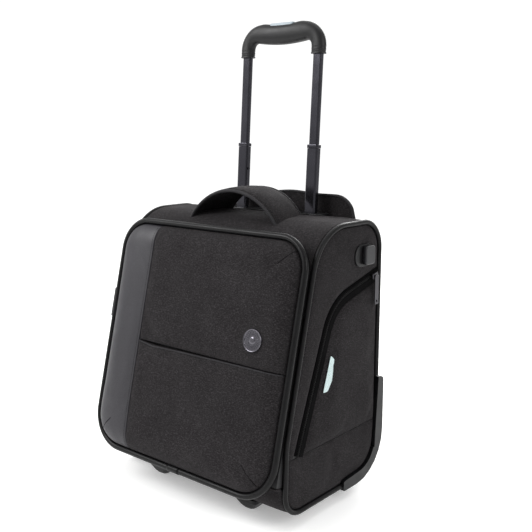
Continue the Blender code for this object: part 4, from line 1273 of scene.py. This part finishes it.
def build_wheel(side, sign):
    half = WHEEL_HALF
    matrix = CASE_MATRIX @ Matrix.Translation((sign * WHEEL_X, 0.058, 0.0075))
    tread = mirrored([
        (-half, 0.0200), (-half, 0.0244), (-half + 0.0008, 0.0262), (-half + 0.0026, 0.0274),
        (-0.0050, 0.0275), (-0.0044, 0.0266), (-0.0032, 0.0266), (-0.0026, 0.0275),
    ])
    body = "wheel_" + side
    tyre = turned_ring(tread)
    add_piece("wheel_tyre_" + side, tyre, "rubber", body, "tyre_" + side, matrix=matrix, crisp=35.0)
    hub = mirrored([
        (-half - 0.0020, 0.0033), (-half - 0.0020, 0.0062), (-half - 0.0016, 0.0066),
        (-half + 0.0020, 0.0072), (-half + 0.0026, 0.0090), (-half + 0.0026, 0.0170),
        (-half + 0.0008, 0.0188), (-half + 0.0008, 0.0197),
    ])
    parts = [turned_ring(hub)]
    for k in range(SPOKES):
        angle = math.tau * k / SPOKES
        ahead = Vector((0.0, math.cos(angle), math.sin(angle)))
        for x in (-half + 0.0020, half - 0.0020):
            line = [ahead * r + Vector((x, 0.0, 0.0)) for r in (0.0068, 0.0105, 0.0145, 0.0186)]
            parts.append(sweep(line, circle(0.0012, 8), (1.0, 0.0, 0.0)))
    hub = merge(parts)
    add_piece("wheel_hub_" + side, hub, "grey_plastic", body, "hub_" + side, matrix=matrix, crisp=35.0)


def build_grip():
    """Sculpted grip: an oval bar with a fuller underside, rounded down into two sleeves."""
    sleeve_x, low, bar, bend = 0.0764, 0.2900, 0.3278, 0.0250
    path = [(sleeve_x, w) for w in np.linspace(low, bar - bend, 17)]
    for step in range(1, 13):
        angle = math.pi / 2 * step / 12
        path.append((sleeve_x - bend + bend * math.cos(angle), bar - bend + bend * math.sin(angle)))
    path += [(x, bar) for x in np.linspace(sleeve_x - bend, 0.0, 16)[1:]]
    path = path + [(-x, w) for x, w in path[-2::-1]]
    count, sides = len(path), 28
    points = []
    for index, (x, w) in enumerate(path):
        before, after = path[max(0, index - 1)], path[min(count - 1, index + 1)]
        ahead = Vector((after[0] - before[0], after[1] - before[1])).normalized()
        outward = Vector((ahead.y, -ahead.x))
        flat_share = min(1.0, max(0.0, (sleeve_x - abs(x)) / bend))
        ease = flat_share * flat_share * (3.0 - 2.0 * flat_share)
        belly = 0.0048 * max(0.0, math.cos(x / 0.056 * math.pi / 2)) if abs(x) < 0.056 else 0.0
        hump = 0.0027 * math.exp(-((abs(x) - 0.040) / 0.015) ** 2) * ease
        over = 0.0129 + 0.0014 * ease + hump
        under = 0.0131 + 0.0014 * ease + belly
        depth = 0.0093 + 0.0020 * ease
        rise = w - low
        lip = 0.0005 if rise < 0.0022 and abs(x) > 0.07 else 0.0
        ribbed = 0.0030 < rise < 0.0105 and int(rise / 0.0008) % 3 == 0 and abs(x) > 0.07
        rib = 0.0005 if ribbed else 0.0
        for k in range(sides):
            angle = math.tau * k / sides
            c, d = math.cos(angle), math.sin(angle)
            c, d = math.copysign(abs(c) ** 0.86, c), math.copysign(abs(d) ** 0.86, d)
            reach = (over if c > 0 else under) + lip - rib
            spot = Vector((x, w)) + outward * reach * c
            points.append((spot.x, d * (depth + lip - rib), spot.y))
    shape = (points, ring_faces(count, sides))
    add_piece("trolley_grip", shape, "grip_plastic", "upper_stage", "grip", matrix=AXIS_MATRIX, crisp=50.0)


# Look of each CAD node that stays visible; those in pairs have right or left added to their names.
CAD_LOOKS = {
    "front_frame": "board",
    "door_board": "lining",
    "tube_cover": "lining",
    "handle_well": "plastic",
    "tube_foot": "plastic",
    "usb_port": "plastic",
    "usb_socket": "steel",
    "usb_cap": "grey_plastic",
    "release_button": "button",
    "door_slider": "dark_chrome",
    "door_pull": "dark_chrome",
}
PAIR_LOOKS = {
    "side_board_": "board",
    "wheel_guard_": "plastic",
    "front_foot_": "plastic",
    "collar_": "tube_paint",
    "axle_": "steel",
    "guide_tube_": "steel",
    "release_rod_": "steel",
    "lower_tube_": "tube_paint",
    "upper_tube_": "tube_paint",
    "pocket_slider_": "dark_chrome",
    "pocket_pull_": "dark_chrome",
}
# Width of the rounded edges of the nodes that have them.
ROUNDED = {
    "handle_well": 0.0008,
    "usb_port": 0.0008,
    "usb_cap": 0.0006,
    "release_button": 0.0010,
    "door_pull": 0.0004,
    "door_slider": 0.0012,
}
PAIR_ROUNDED = {
    "wheel_guard_": 0.0016,
    "front_foot_": 0.0015,
    "collar_": 0.0008,
    "pocket_pull_": 0.0004,
    "pocket_slider_": 0.0008,
}


def soften(name, width):
    """Rounds a CAD node's edges with modifiers only."""
    item = nodes[name]
    weld = item.modifiers.new("weld", "WELD")
    weld.merge_threshold = 0.00002
    bevel = item.modifiers.new("rounded", "BEVEL")
    bevel.width = width
    bevel.segments = 3 if name.startswith(("wheel_guard_", "front_foot_")) else 2
    bevel.limit_method = "ANGLE"
    bevel.angle_limit = math.radians(30.0)
    bevel.use_clamp_overlap = True
    bevel.harden_normals = False
    smooth = item.modifiers.new("even", "WEIGHTED_NORMAL")
    smooth.keep_sharp = True


def dress_cad():
    """Gives every CAD node that stays visible its detailed material."""
    sides = ("right", "left")
    chosen = {**CAD_LOOKS, **{name + side: look for name, look in PAIR_LOOKS.items() for side in sides}}
    for name, item in nodes.items():
        if item.hide_render:
            continue
        item.data.materials.clear()
        item.data.materials.append(looks[chosen[name]])
    widths = {**ROUNDED, **{name + side: width for name, width in PAIR_ROUNDED.items() for side in sides}}
    for name, width in widths.items():
        soften(name, width)


build_stage()
build_door()
for side_name, side_sign in (("right", 1), ("left", -1)):
    build_side(side_name, side_sign)
    build_wheel(side_name, side_sign)
build_tag()
build_covers()
build_carry_handle()
build_flap()
build_grip()
dress_cad()
